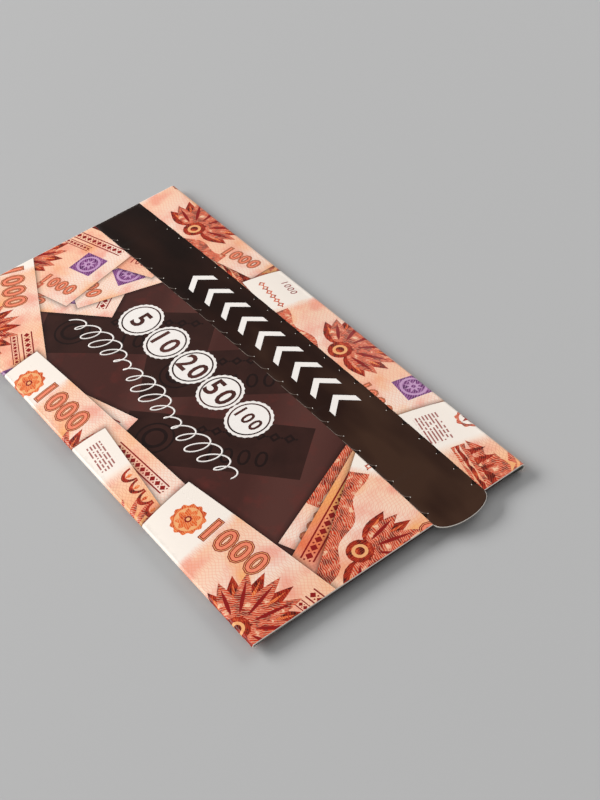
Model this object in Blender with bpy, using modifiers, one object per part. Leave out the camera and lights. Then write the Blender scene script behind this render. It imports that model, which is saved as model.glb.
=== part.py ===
# A money envelope of folded, printed card with a tear-off strip, modelled piece by piece.
#
# Metres, +Z up. The envelope lies on its back. +X runs along the long side towards the pull tab, +Y towards
# the long fold that carries the closing flap, and the origin is on the flat of the back that it rests on.
# The front face bows upwards a little, as a springy folded card does.

import math

import bmesh
import bpy
from mathutils import Color, Matrix, Vector

MM = 0.001

# Card, adhesive and the thin spaces between pressed layers
card_thickness = 0.35 * MM
layer_gap = 0.10 * MM
crease_gap = 0.10 * MM
glue_thickness = 0.15 * MM
tape_thickness = 0.10 * MM
liner_thickness = 0.08 * MM
floor_gap = 0.02 * MM

# Folded outline and the bow of its front face
envelope_length = 165.0 * MM
envelope_width = 85.0 * MM
front_crown = 2.3 * MM
crown_power_along = 2.2
crown_power_across = 5.0

# Tear strip and its pull tab; the header is the band between the strip and the closing flap's fold
header_depth = 13.6 * MM
strip_width = 16.7 * MM
strip_sections = 5
tab_reach = 4.3 * MM
tab_arc_steps = 18
tear_gap = 0.30 * MM

# One cut of the perforation: straight run, curved run into the strip, and the bridge to the next cut
cut_straight_run = 3.85 * MM
cut_curved_run = 2.00 * MM
cut_depth = 1.25 * MM
cut_curve_steps = 2
bridge_run = 0.93 * MM
last_tip_inset = 3.4 * MM

# Side glue flaps and the glue lines on them
side_flap_depth = 14.0 * MM
side_flap_end_inset = 4.0 * MM
side_flap_taper = 4.0 * MM
side_fold_inset = 0.30 * MM
glue_width = 5.0 * MM
glue_edge_inset = 3.0 * MM
glue_end_inset = 1.5 * MM

# Closing flap with its sealing tape and the liner over the tape
closing_flap_depth = 24.0 * MM
closing_flap_end_inset = 1.0 * MM
closing_flap_taper = 4.0 * MM
closing_flap_corner = 5.0 * MM
corner_steps = 6
hinge_drop = 0.05 * MM
tape_width = 9.0 * MM
tape_edge_inset = 2.5 * MM
tape_end_inset = 9.0 * MM
liner_overhang = 1.0 * MM

# Back panel: its flat rim, how far its slopes reach in, and its free edge inside the top fold
back_flat_rim = 4.5 * MM
back_ramp_along = 25.0 * MM
back_ramp_across = 14.0 * MM
flap_ramp = 10.0 * MM
flap_ramp_margin = 1.5 * MM
back_edge_inset = 0.90 * MM

# Mesh steps
cell_along = 10.5 * MM
cell_across = 4.2 * MM
fold_steps = 10
die_overrun = 4.0 * MM
die_height = 12.0 * MM
weld_distance = 0.001 * MM
flat_angle = 0.0005

# Print and board colours, as screen values from 0 to 255, and how rough each surface is
field_brown = (78, 48, 46)
note_peach = (222, 160, 135)
strip_brown = (60, 42, 34)
back_brown = (72, 46, 44)
board_white = (232, 228, 220)
adhesive_cream = (214, 206, 188)
liner_white = (240, 238, 230)
laminate_roughness = 0.35
board_roughness = 0.75
adhesive_roughness = 0.40
liner_roughness = 0.55
screen_levels = 255

# Heights above the rest plane at the envelope's rim, from the closing flap up to the front face
flap_bottom = floor_gap
flap_top = flap_bottom + card_thickness
tape_bottom = flap_top + layer_gap
liner_bottom = tape_bottom + tape_thickness + layer_gap
back_rim_bottom = liner_bottom + liner_thickness + layer_gap
back_rim_top = back_rim_bottom + card_thickness
side_flap_rim_top = back_rim_top + layer_gap + card_thickness
glue_rim_top = side_flap_rim_top + layer_gap + glue_thickness
front_rim_top = glue_rim_top + layer_gap + card_thickness

# Places in the plane
half_length = envelope_length / 2
half_width = envelope_width / 2
strip_high = half_width - header_depth
strip_low = strip_high - strip_width
strip_middle = strip_low + strip_width / 2
section_length = envelope_length / strip_sections
tear_pitch = cut_straight_run + cut_curved_run + bridge_run

top_fold_radius = (front_rim_top - flap_bottom) / 2
top_fold_y = half_width - top_fold_radius
top_fold_z = flap_bottom + top_fold_radius
bottom_fold_radius = (front_rim_top - back_rim_bottom) / 2
bottom_fold_y = -half_width + bottom_fold_radius
bottom_fold_z = back_rim_bottom + bottom_fold_radius
side_fold_radius = (side_flap_rim_top - back_rim_bottom) / 2
side_fold_x = half_length - side_fold_inset - side_fold_radius
side_fold_z = back_rim_bottom + side_fold_radius

# A fold's inner wall leans past its centre by this much at its ends, and its neighbours stay clear of it
fold_lean = card_thickness * math.sin(math.pi / fold_steps / 2)
fold_clearance = fold_lean + crease_gap / 2

front_low = bottom_fold_y + fold_clearance
front_high = top_fold_y - fold_clearance
back_low = bottom_fold_y + fold_clearance
back_high = half_width - card_thickness - back_edge_inset
back_half_length = side_fold_x - fold_clearance
flap_root = top_fold_y - fold_clearance
flap_tip = flap_root - closing_flap_depth
flap_half_length = half_length - closing_flap_end_inset
side_flap_reach = half_width - side_flap_end_inset


def front_height(x, y):
    """Height of the printed face at a place: the rim's height plus the bow."""
    middle = (front_low + front_high) / 2
    along = min(1.0, abs(x) / half_length)
    across = min(1.0, abs(y - middle) / (front_high - middle))
    bow = (1 - along**crown_power_along) * (1 - across**crown_power_across)
    return front_rim_top + front_crown * bow


def side_flap_height(x, y):
    """Height of a side flap's upper face, which follows the front face above it."""
    return front_height(x, y) - (front_rim_top - side_flap_rim_top)


def glue_height(x, y):
    """Height of a glue line's upper face, just under the front face."""
    return front_height(x, y) - (front_rim_top - glue_rim_top)


def ramp(distance, reach):
    """A smooth rise from 0 at the edge to 1 at the given reach."""
    share = min(1.0, max(0.0, distance / reach))
    return share * share * (3 - 2 * share)


def back_height(x, y):
    """Height of the back panel's lower face: flat on the ground in the middle, raised at its edges."""
    along = ramp(back_half_length - back_flat_rim - abs(x), back_ramp_along)
    below = ramp(y - back_low - back_flat_rim, back_ramp_across)
    above = ramp(flap_tip - flap_ramp_margin - y, flap_ramp)
    return back_rim_bottom * (1 - along * below * above)


def finish(name, screen_color, roughness):
    """A Principled material of one colour for one kind of piece."""
    material = bpy.data.materials.new(name)
    material.use_nodes = True
    shader = material.node_tree.nodes["Principled BSDF"]
    shares = Color([level / screen_levels for level in screen_color])
    color = (*shares.from_srgb_to_scene_linear(), 1.0)
    shader.inputs["Base Color"].default_value = color
    shader.inputs["Roughness"].default_value = roughness
    shader.inputs["Metallic"].default_value = 0.0
    material.diffuse_color = color
    return material


def clear_scene():
    for thing in list(bpy.data.objects):
        bpy.data.objects.remove(thing, do_unlink=True)


def new_collection(name):
    collection = bpy.data.collections.new(name)
    bpy.context.scene.collection.children.link(collection)
    return collection


def world_origin(thing):
    """Where an object's origin lies, with its parents' places added."""
    spot = thing.location.copy()
    while thing.parent:
        thing = thing.parent
        spot = spot + thing.location
    return spot


def place(data, name, material, parent, origin=(0.0, 0.0, 0.0)):
    """An object for a mesh made in world coordinates, with its own origin and parent."""
    data.transform(Matrix.Translation(-Vector(origin)))
    data.name = name
    data.materials.clear()
    data.materials.append(material)
    piece = bpy.data.objects.new(name, data)
    parts.objects.link(piece)
    piece.parent = parent
    piece.location = Vector(origin) - world_origin(parent)
    return piece


def mesh_from(shape, name):
    data = bpy.data.meshes.new(name)
    shape.to_mesh(data)
    shape.free()
    return data


def thicken(piece, thickness, side):
    """Solidify: side is 1 to grow along the faces' normals and -1 against them."""
    modifier = piece.modifiers.new("Thickness", "SOLIDIFY")
    modifier.thickness = thickness
    modifier.offset = side
    modifier.use_even_offset = True


def stations(marks, cell):
    """Places from the first mark to the last, through every mark, no further apart than a cell."""
    places = [marks[0]]
    for start, end in zip(marks, marks[1:]):
        count = math.ceil((end - start) / cell)
        places += [start + (end - start) * step / count for step in range(1, count + 1)]
    return places


def bent_sheet(name, x_marks, y_marks, height, merge_flats=False):
    """An open sheet over a rectangle, lifted to a height at each of its points.

    It starts as a unit square round its middle, and each row of points moves to its own station."""
    x_places = stations(x_marks, cell_along)
    y_places = stations(y_marks, cell_across)
    columns = len(x_places) - 1
    rows = len(y_places) - 1
    sheet = bmesh.new()
    bmesh.ops.create_grid(sheet, x_segments=columns, y_segments=rows, size=0.5)
    for vert in sheet.verts:
        x = x_places[round((vert.co.x + 0.5) * columns)]
        y = y_places[round((vert.co.y + 0.5) * rows)]
        vert.co = (x, y, height(x, y))
    if merge_flats:
        bmesh.ops.dissolve_limit(sheet, angle_limit=flat_angle, verts=sheet.verts, edges=sheet.edges)
    return mesh_from(sheet, name)


def prism(name, outline, bottom, top):
    """A flat outline given thickness: a filled 2D curve, extruded both ways, turned to a mesh."""
    curve = bpy.data.curves.new(name, "CURVE")
    curve.dimensions = "2D"
    curve.fill_mode = "BOTH"
    curve.extrude = (top - bottom) / 2
    spline = curve.splines.new("POLY")
    spline.points.add(len(outline) - 1)
    for point, spot in zip(spline.points, outline):
        point.co = (spot[0], spot[1], 0.0, 1.0)
    spline.use_cyclic_u = True
    guide = bpy.data.objects.new(name, curve)
    parts.objects.link(guide)
    graph = bpy.context.evaluated_depsgraph_get()
    data = bpy.data.meshes.new_from_object(guide.evaluated_get(graph))
    bpy.data.objects.remove(guide, do_unlink=True)
    bpy.data.curves.remove(curve)
    data.transform(Matrix.Translation((0, 0, (top + bottom) / 2)))
    solid = bmesh.new()
    solid.from_mesh(data)
    bmesh.ops.remove_doubles(solid, verts=solid.verts, dist=weld_distance)
    bmesh.ops.recalc_face_normals(solid, faces=solid.faces)
    solid.to_mesh(data)
    solid.free()
    return data


def cutting_die(name, outline):
    """A tall prism, kept out of the model, that stamps a sheet to its outline."""
    die = bpy.data.objects.new(name, prism(name, outline, -die_height / 2, die_height / 2))
    dies.objects.link(die)
    die.hide_render = True
    die.display_type = "WIRE"
    return die


def stamp(piece, die):
    """Keep only what lies inside the die."""
    cut = piece.modifiers.new("Die cut", "BOOLEAN")
    cut.operation = "INTERSECT"
    cut.solver = "EXACT"
    cut.object = die


def half_round(name, ends, centre, radius, turn_axis, angle):
    """A fold: a straight edge spun half way round its centre, from the top face to the bottom one."""
    sheet = bmesh.new()
    along = Vector(turn_axis)
    top = Vector(centre) + Vector((0, 0, radius))
    corners = [sheet.verts.new(top + along * end) for end in ends]
    edge = sheet.edges.new(corners)
    bmesh.ops.spin(
        sheet,
        geom=corners + [edge],
        cent=centre,
        axis=turn_axis,
        dvec=(0, 0, 0),
        angle=angle,
        steps=fold_steps,
    )
    bmesh.ops.recalc_face_normals(sheet, faces=sheet.faces)
    outward = sum(face.normal.dot(face.calc_center_median() - Vector(centre)) for face in sheet.faces)
    if outward < 0:
        bmesh.ops.reverse_faces(sheet, faces=sheet.faces)
    return mesh_from(sheet, name)


def tear_line(base, into_strip):
    """One row of perforation as a torn edge, from the far end to the tab end.

    base is the row's place across the envelope, and into_strip is 1 or -1, the side that the strip is on."""
    first_start = -half_length
    last_tip = half_length - last_tip_inset
    count = int((last_tip - first_start - cut_curved_run) / tear_pitch)
    line = [(-half_length - die_overrun, base)]
    for index in reversed(range(count)):
        tip = last_tip - index * tear_pitch
        bend = tip - cut_curved_run
        line.append((bend - cut_straight_run, base))
        line.append((bend, base))
        for step in range(1, cut_curve_steps + 1):
            share = step / cut_curve_steps
            line.append((bend + share * cut_curved_run, base + into_strip * cut_depth * share**2))
    line.append((last_tip + bridge_run, base))
    line.append((half_length + die_overrun, base))
    return [Vector(point) for point in line]


def shifted(line, distance):
    """A line moved sideways by a distance, to its left, with its corners kept sharp."""
    moved = []
    for index, point in enumerate(line):
        before = line[max(index - 1, 0)]
        after = line[min(index + 1, len(line) - 1)]
        arriving = (point - before).normalized() if index else (after - point).normalized()
        leaving = (after - point).normalized() if index < len(line) - 1 else arriving
        left = Vector((-arriving.y - leaving.y, arriving.x + leaving.x)).normalized()
        stretch = left.dot(Vector((-leaving.y, leaving.x)))
        moved.append(point + left * distance / stretch)
    return moved


def rounded_corner(corner, before, after, radius):
    """Points of an arc that rounds a corner between two neighbours."""
    corner, before, after = Vector(corner), Vector(before), Vector(after)
    to_before = (before - corner).normalized()
    to_after = (after - corner).normalized()
    half_angle = to_before.angle(to_after) / 2
    centre = corner + (to_before + to_after).normalized() * radius / math.sin(half_angle)
    start = corner + to_before * radius / math.tan(half_angle) - centre
    end = corner + to_after * radius / math.tan(half_angle) - centre
    sweep = -start.angle_signed(end) / corner_steps
    return [centre + Matrix.Rotation(sweep * step, 2) @ start for step in range(corner_steps + 1)]


def front_pieces(root, printed_field, printed_notes):
    """The two fixed areas of the front face, stamped along the torn edges."""
    low_line = shifted(tear_line(strip_low, 1), -tear_gap / 2)
    beyond = half_length + die_overrun
    below = [(beyond, front_low - die_overrun), (-beyond, front_low - die_overrun)]
    panel_die = cutting_die("front_panel_die", low_line + below)
    panel_span = (front_low, strip_low + cut_depth)
    data = bent_sheet("front_panel", (-half_length, half_length), panel_span, front_height)
    panel = place(data, "front_panel", printed_field, root)
    thicken(panel, card_thickness, -1)
    stamp(panel, panel_die)

    high_line = shifted(tear_line(strip_high, -1), tear_gap / 2)
    above = [(beyond, front_high + die_overrun), (-beyond, front_high + die_overrun)]
    band_die = cutting_die("header_band_die", high_line + above)
    band_span = (strip_high - cut_depth, front_high)
    data = bent_sheet("header_band", (-half_length, half_length), band_span, front_height)
    band = place(data, "header_band", printed_notes, root)
    thicken(band, card_thickness, -1)
    stamp(band, band_die)


def hinge_point(x):
    """Middle of the strip's upper face where it bends at a place along it."""
    height = (front_height(x, strip_low) + front_height(x, strip_high)) / 2
    return Vector((x, strip_middle, height))


def tear_strip(root, printed_strip):
    """The strip as sections from the far end to the tab, each turning on the one before it."""
    low_line = shifted(tear_line(strip_low, 1), tear_gap / 2)
    high_line = shifted(tear_line(strip_high, -1), -tear_gap / 2)
    strip_die = cutting_die("tear_strip_die", low_line + high_line[::-1])
    y_span = (strip_low - tear_gap, strip_high + tear_gap)
    carrier = root
    for index in range(strip_sections):
        start = -half_length + index * section_length
        end = start + section_length
        name = f"tear_strip_{strip_sections - index}"
        x_span = (start + (tear_gap / 2 if index else 0.0), end - tear_gap / 2)
        data = bent_sheet(name, x_span, y_span, front_height)
        carrier = place(data, name, printed_strip, carrier, hinge_point(start))
        thicken(carrier, card_thickness, -1)
        stamp(carrier, strip_die)

    root_x = half_length + tear_gap / 2
    reach = tab_reach - tear_gap / 2
    outline = []
    for step in range(tab_arc_steps + 1):
        angle = math.pi * (step / tab_arc_steps - 0.5)
        across = strip_middle + (strip_width - tear_gap) / 2 * math.sin(angle)
        outline.append((root_x + reach * math.cos(angle), across))
    data = prism("pull_tab", outline, front_rim_top - card_thickness, front_rim_top)
    place(data, "pull_tab", printed_strip, carrier, (half_length, strip_middle, front_rim_top))


def long_folds(root, printed_notes):
    """The rounded long edges that the print wraps round."""
    ends = (-half_length, half_length)
    centre = (0.0, top_fold_y, top_fold_z)
    data = half_round("top_fold", ends, centre, top_fold_radius, (1, 0, 0), -math.pi)
    thicken(place(data, "top_fold", printed_notes, root), card_thickness, -1)
    centre = (0.0, bottom_fold_y, bottom_fold_z)
    data = half_round("bottom_fold", ends, centre, bottom_fold_radius, (1, 0, 0), math.pi)
    thicken(place(data, "bottom_fold", printed_notes, root), card_thickness, -1)


def back_panel(root, printed_back):
    """The back, with mesh lines where its slopes begin and end, so that its flats are truly flat."""
    slope_foot = back_half_length - back_flat_rim - back_ramp_along
    slope_head = back_half_length - back_flat_rim
    x_marks = (-back_half_length, -slope_head, -slope_foot, slope_foot, slope_head, back_half_length)
    low_slope = back_low + back_flat_rim
    low_flat = low_slope + back_ramp_across
    high_slope = flap_tip - flap_ramp_margin
    high_flat = high_slope - flap_ramp
    y_marks = (back_low, low_slope, low_flat, high_flat, high_slope, back_high)
    data = bent_sheet("back_panel", x_marks, y_marks, back_height, merge_flats=True)
    thicken(place(data, "back_panel", printed_back, root), card_thickness, 1)


def glue_line(name, side, y_span, adhesive, root):
    """A thin line of adhesive between a side flap and the front face."""
    outer = half_length - glue_edge_inset
    spans = sorted((side * outer, side * (outer - glue_width)))
    data = bent_sheet(name, spans, y_span, glue_height)
    thicken(place(data, name, adhesive, root), glue_thickness, -1)


def side_closures(root, printed_notes, board, adhesive):
    """Each short edge: the fold of the back panel, the flap under the front face, and its glue."""
    ends = (-side_flap_reach, side_flap_reach)
    for word, side in (("left", -1), ("right", 1)):
        centre = (side * side_fold_x, 0.0, side_fold_z)
        name = f"side_fold_{word}"
        data = half_round(name, ends, centre, side_fold_radius, (0, 1, 0), side * math.pi)
        thicken(place(data, name, printed_notes, root), card_thickness, -1)

        name = f"side_flap_{word}"
        outer = side_fold_x - fold_clearance
        span = sorted((side * outer, side * (outer - side_flap_depth)))
        data = bent_sheet(name, span, ends, side_flap_height)
        for vert in data.vertices:
            inward = (outer - abs(vert.co.x)) / side_flap_depth
            vert.co.y *= 1 - inward * side_flap_taper / side_flap_reach
            vert.co.z = side_flap_height(vert.co.x, vert.co.y)
        thicken(place(data, name, board, root), card_thickness, -1)

        glue_share = (glue_edge_inset + glue_width) / side_flap_depth
        inner_reach = side_flap_reach - side_flap_taper * glue_share - glue_end_inset
        glue_line(f"glue_front_{word}", side, (-inner_reach, strip_low - glue_end_inset), adhesive, root)
        glue_line(f"glue_header_{word}", side, (strip_high + tear_gap, inner_reach), adhesive, root)


def closing_flap(root, printed_back, adhesive, liner):
    """The flap on the back, which turns on the crease under the top fold, with its tape and liner."""
    hinge = (0.0, (top_fold_y + flap_root) / 2, flap_bottom - hinge_drop)
    tip_half_length = flap_half_length - closing_flap_taper
    roots = [(-flap_half_length, flap_root), (flap_half_length, flap_root)]
    tips = [(tip_half_length, flap_tip), (-tip_half_length, flap_tip)]
    outline = roots[::-1]
    outline += rounded_corner(tips[1], roots[0], tips[0], closing_flap_corner)
    outline += rounded_corner(tips[0], tips[1], roots[1], closing_flap_corner)
    data = prism("closing_flap", outline, flap_bottom, flap_top)
    flap = place(data, "closing_flap", printed_back, root, hinge)

    reach = tip_half_length - tape_end_inset
    low = flap_tip + tape_edge_inset
    high = low + tape_width
    outline = [(-reach, low), (reach, low), (reach, high), (-reach, high)]
    data = prism("seal_tape", outline, tape_bottom, tape_bottom + tape_thickness)
    place(data, "seal_tape", adhesive, flap, hinge)

    reach += liner_overhang
    low -= liner_overhang
    high += liner_overhang
    outline = [(-reach, low), (reach, low), (reach, high), (-reach, high)]
    data = prism("release_liner", outline, liner_bottom, liner_bottom + liner_thickness)
    place(data, "release_liner", liner, flap, hinge)


clear_scene()
parts = new_collection("money_envelope")
dies = new_collection("cutting_dies")

root = bpy.data.objects.new("money_envelope_frame", None)
parts.objects.link(root)

printed_field = finish("printed_dark_field", field_brown, laminate_roughness)
printed_notes = finish("printed_note_pattern", note_peach, laminate_roughness)
printed_strip = finish("printed_strip", strip_brown, laminate_roughness)
printed_back = finish("printed_back", back_brown, laminate_roughness)
board = finish("white_board", board_white, board_roughness)
adhesive = finish("clear_adhesive", adhesive_cream, adhesive_roughness)
liner = finish("liner_paper", liner_white, liner_roughness)

front_pieces(root, printed_field, printed_notes)
tear_strip(root, printed_strip)
long_folds(root, printed_notes)
back_panel(root, printed_back)
side_closures(root, printed_notes, board, adhesive)
closing_flap(root, printed_back, adhesive, liner)
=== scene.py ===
# %% [markdown]
# # A money envelope with a tear-off strip
#
# A money envelope is one sheet of printed card, cut to shape, creased and glued into a flat pocket.
# A dark strip runs across its front between two rows of small cuts, and a rounded tab at the strip's
# end is pulled to tear it off. This lesson dresses the plain model of such an envelope: first the
# measures, then the light, then the print, and then each piece of card in turn.
#
# The plain model is loaded first. It is only measured here, and never changed.

# %% Load the plain model
import math

import bmesh
import bpy
import numpy as np
from mathutils import Color, Matrix, Vector
from mathutils.geometry import delaunay_2d_cdt


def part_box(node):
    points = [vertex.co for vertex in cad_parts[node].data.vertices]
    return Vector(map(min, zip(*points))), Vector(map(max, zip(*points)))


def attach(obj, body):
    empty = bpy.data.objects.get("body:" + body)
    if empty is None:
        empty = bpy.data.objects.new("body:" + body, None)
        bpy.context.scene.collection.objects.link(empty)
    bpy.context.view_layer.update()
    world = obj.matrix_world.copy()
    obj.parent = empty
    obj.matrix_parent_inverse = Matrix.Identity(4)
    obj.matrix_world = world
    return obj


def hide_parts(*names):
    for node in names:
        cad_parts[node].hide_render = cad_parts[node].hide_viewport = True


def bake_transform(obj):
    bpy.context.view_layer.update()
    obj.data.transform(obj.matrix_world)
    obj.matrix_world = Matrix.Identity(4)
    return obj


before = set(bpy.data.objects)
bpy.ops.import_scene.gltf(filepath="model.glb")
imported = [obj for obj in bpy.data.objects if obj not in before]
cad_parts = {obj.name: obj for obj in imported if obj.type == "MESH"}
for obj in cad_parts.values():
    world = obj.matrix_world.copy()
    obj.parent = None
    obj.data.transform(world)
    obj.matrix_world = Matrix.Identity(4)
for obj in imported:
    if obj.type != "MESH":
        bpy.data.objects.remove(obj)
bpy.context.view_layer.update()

# %% [markdown]
# ## Measures
#
# Card is measured in millimetres, and so is the print on it, so this lesson works in millimetres
# and turns them to metres only when a mesh is made. The sizes could be typed in again, but reading
# them off the model's own boxes keeps the two in step.

# %% Read the sizes off the model
MM = 0.001


def span(node):
    """Lowest and highest corner of one plain piece, in millimetres."""
    low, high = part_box(node)
    return np.array(low) / MM, np.array(high) / MM


tab_low, tab_high = span("pull_tab")
top_low, top_high = span("top_fold")
bottom_low, bottom_high = span("bottom_fold")
half_length = top_high[0]
half_width = top_high[1]
rim_height = tab_high[2]
card = tab_high[2] - tab_low[2]
front_low = span("front_panel")[0][1]
front_high = span("header_band")[1][1]
print("folded size", 2 * half_length, 2 * half_width, "card", round(card, 3))

# %% Fold sizes and the strip's borders
model_kerf = 0.30
strip_low = tab_low[1] - model_kerf / 2
strip_high = tab_high[1] + model_kerf / 2
strip_middle = (strip_low + strip_high) / 2
top_radius = (top_high[2] - top_low[2]) / 2
top_y = half_width - top_radius
top_z = top_low[2] + top_radius
bottom_radius = (bottom_high[2] - bottom_low[2]) / 2
bottom_y = -half_width + bottom_radius
bottom_z = bottom_low[2] + bottom_radius
top_wrap = top_y + math.pi * top_radius
bottom_wrap = bottom_y - math.pi * bottom_radius
print("strip from", round(strip_low, 2), "to", round(strip_high, 2))

# %% [markdown]
# ## The bow of the front
#
# The glued pocket springs open a little, so the front face bows up by about two millimetres in the
# middle, while its four edges stay straight. A cloth or spring simulation could find that shape, but
# the real one is so even that a short formula gives it: a falling curve along the length, times a
# flatter one across the width. The long edges are half-round folds, so a place on the print that
# runs past the edge is wound round the fold.

# %% Height of the front face and its folds
bow = 2.3
bow_power_along = 2.2
bow_power_across = 5.0


def front_height(x, y):
    """Height of the printed face at a place, in millimetres."""
    middle = (front_low + front_high) / 2
    along = np.minimum(1.0, np.abs(x) / half_length)
    across = np.minimum(1.0, np.abs(y - middle) / (front_high - middle))
    return rim_height + bow * (1 - along**bow_power_along) * (1 - across**bow_power_across)


def front_place(spots):
    """Where places on the flat print lie once the card is folded."""
    x, y = spots[:, 0], spots[:, 1]
    place = np.stack([x, y, front_height(x, y)], -1)
    folds = ((1, top_y, top_z, top_radius), (-1, bottom_y, bottom_z, bottom_radius))
    for sign, centre_y, centre_z, radius in folds:
        past_fold = sign * (y - centre_y)
        wound = past_fold > 0
        turn = past_fold[wound] / radius
        place[wound, 1] = centre_y + sign * radius * np.sin(turn)
        place[wound, 2] = centre_z + radius * np.cos(turn)
    return place


middle_rise = float(front_height(0.0, 0.0)) - rim_height
print("bow in the middle", round(middle_rise, 2), "mm")

# %% [markdown]
# ## Camera
#
# The camera stands as far off and as high as the photographer's did, tilted a little to one side, so
# that the envelope lies across the picture at the same slant. A long lens at forty centimetres gives
# the same mild perspective. The place could be found by eye; here it was worked out from the four
# corners of the folded outline.

# %% Camera
def in_scene(name, data):
    """A new object for a camera, a lamp, a curve or a mesh, linked to the scene."""
    made = bpy.data.objects.new(name, data)
    bpy.context.scene.collection.objects.link(made)
    return made


camera_place = Vector((0.26911, -0.12707, 0.27737))
camera_axis = Vector((-0.6198, 0.3578, -0.6984)).normalized()
camera_lean = Vector((-0.5173, 0.4830, 0.7065))
camera_side = camera_axis.cross(camera_lean).normalized()
camera_up = camera_side.cross(camera_axis)
camera_data = bpy.data.cameras.new("camera")
camera_data.lens = 65.68
camera_data.sensor_width = 36.0
camera_data.clip_start = 0.01
camera = in_scene("camera", camera_data)
camera.rotation_mode = "QUATERNION"
camera.location = camera_place
camera_turn = Matrix((camera_side, camera_up, -camera_axis)).transposed()
camera.rotation_quaternion = camera_turn.to_quaternion()
bpy.context.scene.camera = camera
print("camera is", round(camera_place.length * 100), "cm away")

# %% [markdown]
# ## Light and table
#
# The light is soft and comes from the left, like that of a wide window, so the shadow is thin, lies
# mostly to the lower right and fades along the long edges too. One wide low lamp gives that shadow,
# and a weak second one behind the envelope and an even world soften it. Each is set by its share of
# the light on the table, and the shares add up to about one, so that a colour comes out as it is
# written. The table is a plain pale grey sheet. It lies as low as the closing flap does when it is
# folded right out, because the flap would otherwise vanish into the table.

# %% Soft light
def lamp(name, azimuth, elevation, distance, width, height, share):
    """A wide soft lamp that gives the table its share of full light. Angles in degrees."""
    around, up = math.radians(azimuth), math.radians(elevation)
    flat = math.cos(up) * distance
    place = Vector((flat * math.cos(around), flat * math.sin(around), math.sin(up) * distance))
    data = bpy.data.lights.new(name, "AREA")
    data.shape = "ELLIPSE"
    data.size = width
    data.size_y = height
    data.energy = share * math.pi**2 * distance**2 / math.sin(up)
    made = in_scene(name, data)
    made.location = place
    made.rotation_euler = (-place).to_track_quat("-Z", "Y").to_euler()


key_share = 0.53
back_share = 0.14
world_share = 0.37
lamp("key_light", azimuth=213, elevation=24, distance=6.0, width=6.0, height=2.2, share=key_share)
lamp("back_light", azimuth=108, elevation=28, distance=6.0, width=5.0, height=2.2, share=back_share)
world = bpy.data.worlds.new("studio")
world.use_nodes = True
background = world.node_tree.nodes["Background"]
background.inputs["Strength"].default_value = world_share
background.inputs["Color"].default_value = (1.0, 1.0, 1.0, 1.0)
bpy.context.scene.world = world
bpy.context.scene.view_settings.view_transform = "Standard"
print("light on the table", round(key_share + back_share + world_share, 2))

# %% [markdown]
# ## Small tools for materials
#
# A material is a small network of nodes. Writing each node out by hand is long, so a few helpers place
# a node and feed its sockets. Colours are written as they look on a screen, from 0 to 255, and turned
# into linear light.

# %% Place and feed a node
screen_white = 255


def screen(red, green, blue):
    """A colour as it looks on a screen, turned into linear light."""
    shares = Color([red / screen_white, green / screen_white, blue / screen_white])
    return (*shares.from_srgb_to_scene_linear(), 1.0)


def feed(socket, value):
    """Link a socket to another one, or give it a constant."""
    if isinstance(value, Flow):
        value = value.socket
    if isinstance(value, bpy.types.NodeSocket):
        socket.id_data.links.new(value, socket)
    else:
        socket.default_value = value


def node(tree, kind, settings=None, **inputs):
    """One node, with its settings and its named inputs."""
    made = tree.nodes.new(kind)
    for name, value in (settings or {}).items():
        setattr(made, name, value)
    for name, value in inputs.items():
        feed(made.inputs[name.replace("_", " ")], value)
    return made


def step(tree, kind, settings=None, **inputs):
    """The first output of one node."""
    return node(tree, kind, settings, **inputs).outputs[0]


print("a middle grey is", round(screen(128, 128, 128)[0], 3), "in linear light")

# %% [markdown]
# ### Sums of nodes
#
# Node arithmetic needs a node for each step, which makes even a short sum hard to read. So a number
# that flows through a tree gets a small class of its own. Each operator on it places the math node
# that does that step, and the sum reads as a sum again.

# %% A number that flows through a tree
def calc(operation, *values):
    """One step of arithmetic as a node, in the tree that the values flow through."""
    tree = next(value.socket.id_data for value in values if isinstance(value, Flow))
    made = tree.nodes.new("ShaderNodeMath")
    made.operation = operation
    for socket, value in zip(made.inputs, values):
        feed(socket, value)
    return Flow(made.outputs[0])


def by_node(operation):
    """A method that does its step of arithmetic as a node."""
    return lambda *values: calc(operation, *values)


class Flow:
    """A number on its way through a node tree. Arithmetic with it places nodes."""

    def __init__(self, socket):
        self.socket = socket

    def __rsub__(self, other):
        return calc("SUBTRACT", other, self)

    def clamped(self):
        """The same number, kept between 0 and 1."""
        self.socket.node.use_clamp = True
        return self

    __add__ = by_node("ADD")
    __sub__ = by_node("SUBTRACT")
    __mul__ = by_node("MULTIPLY")
    __truediv__ = by_node("DIVIDE")
    __mod__ = by_node("MODULO")
    __pow__ = by_node("POWER")
    __gt__ = by_node("GREATER_THAN")
    __lt__ = by_node("LESS_THAN")
    larger = by_node("MAXIMUM")
    size = by_node("ABSOLUTE")
    floor = by_node("FLOOR")
    sine = by_node("SINE")
    cosine = by_node("COSINE")


def past(value, start, gain):
    """How far a value is past a start, times a gain, kept between 0 and 1."""
    return ((value - start) * gain).clamped()


def between(value, low, high):
    """1 where a value lies between two bounds, and 0 elsewhere."""
    return (value > low) * (value < high)


named_steps = [name for name in vars(Flow) if not name.startswith("_")]
print("a flow also knows", ", ".join(named_steps))

# %% Colours, patterns and relief
def tint(tree, share, first, second, how="MIX"):
    """Two colours mixed by a share."""
    settings = {"data_type": "RGBA", "blend_type": how}
    return node(tree, "ShaderNodeMix", settings, Factor=share, A=first, B=second).outputs["Result"]


def parts(tree, vector):
    """The three numbers of a vector."""
    return [Flow(output) for output in node(tree, "ShaderNodeSeparateXYZ", Vector=vector).outputs]


def axes(tree, map_name):
    """The two coordinates of a UV map, and the map itself."""
    place = step(tree, "ShaderNodeUVMap", {"uv_map": map_name})
    u, v, _ = parts(tree, place)
    return u, v, place


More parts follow.
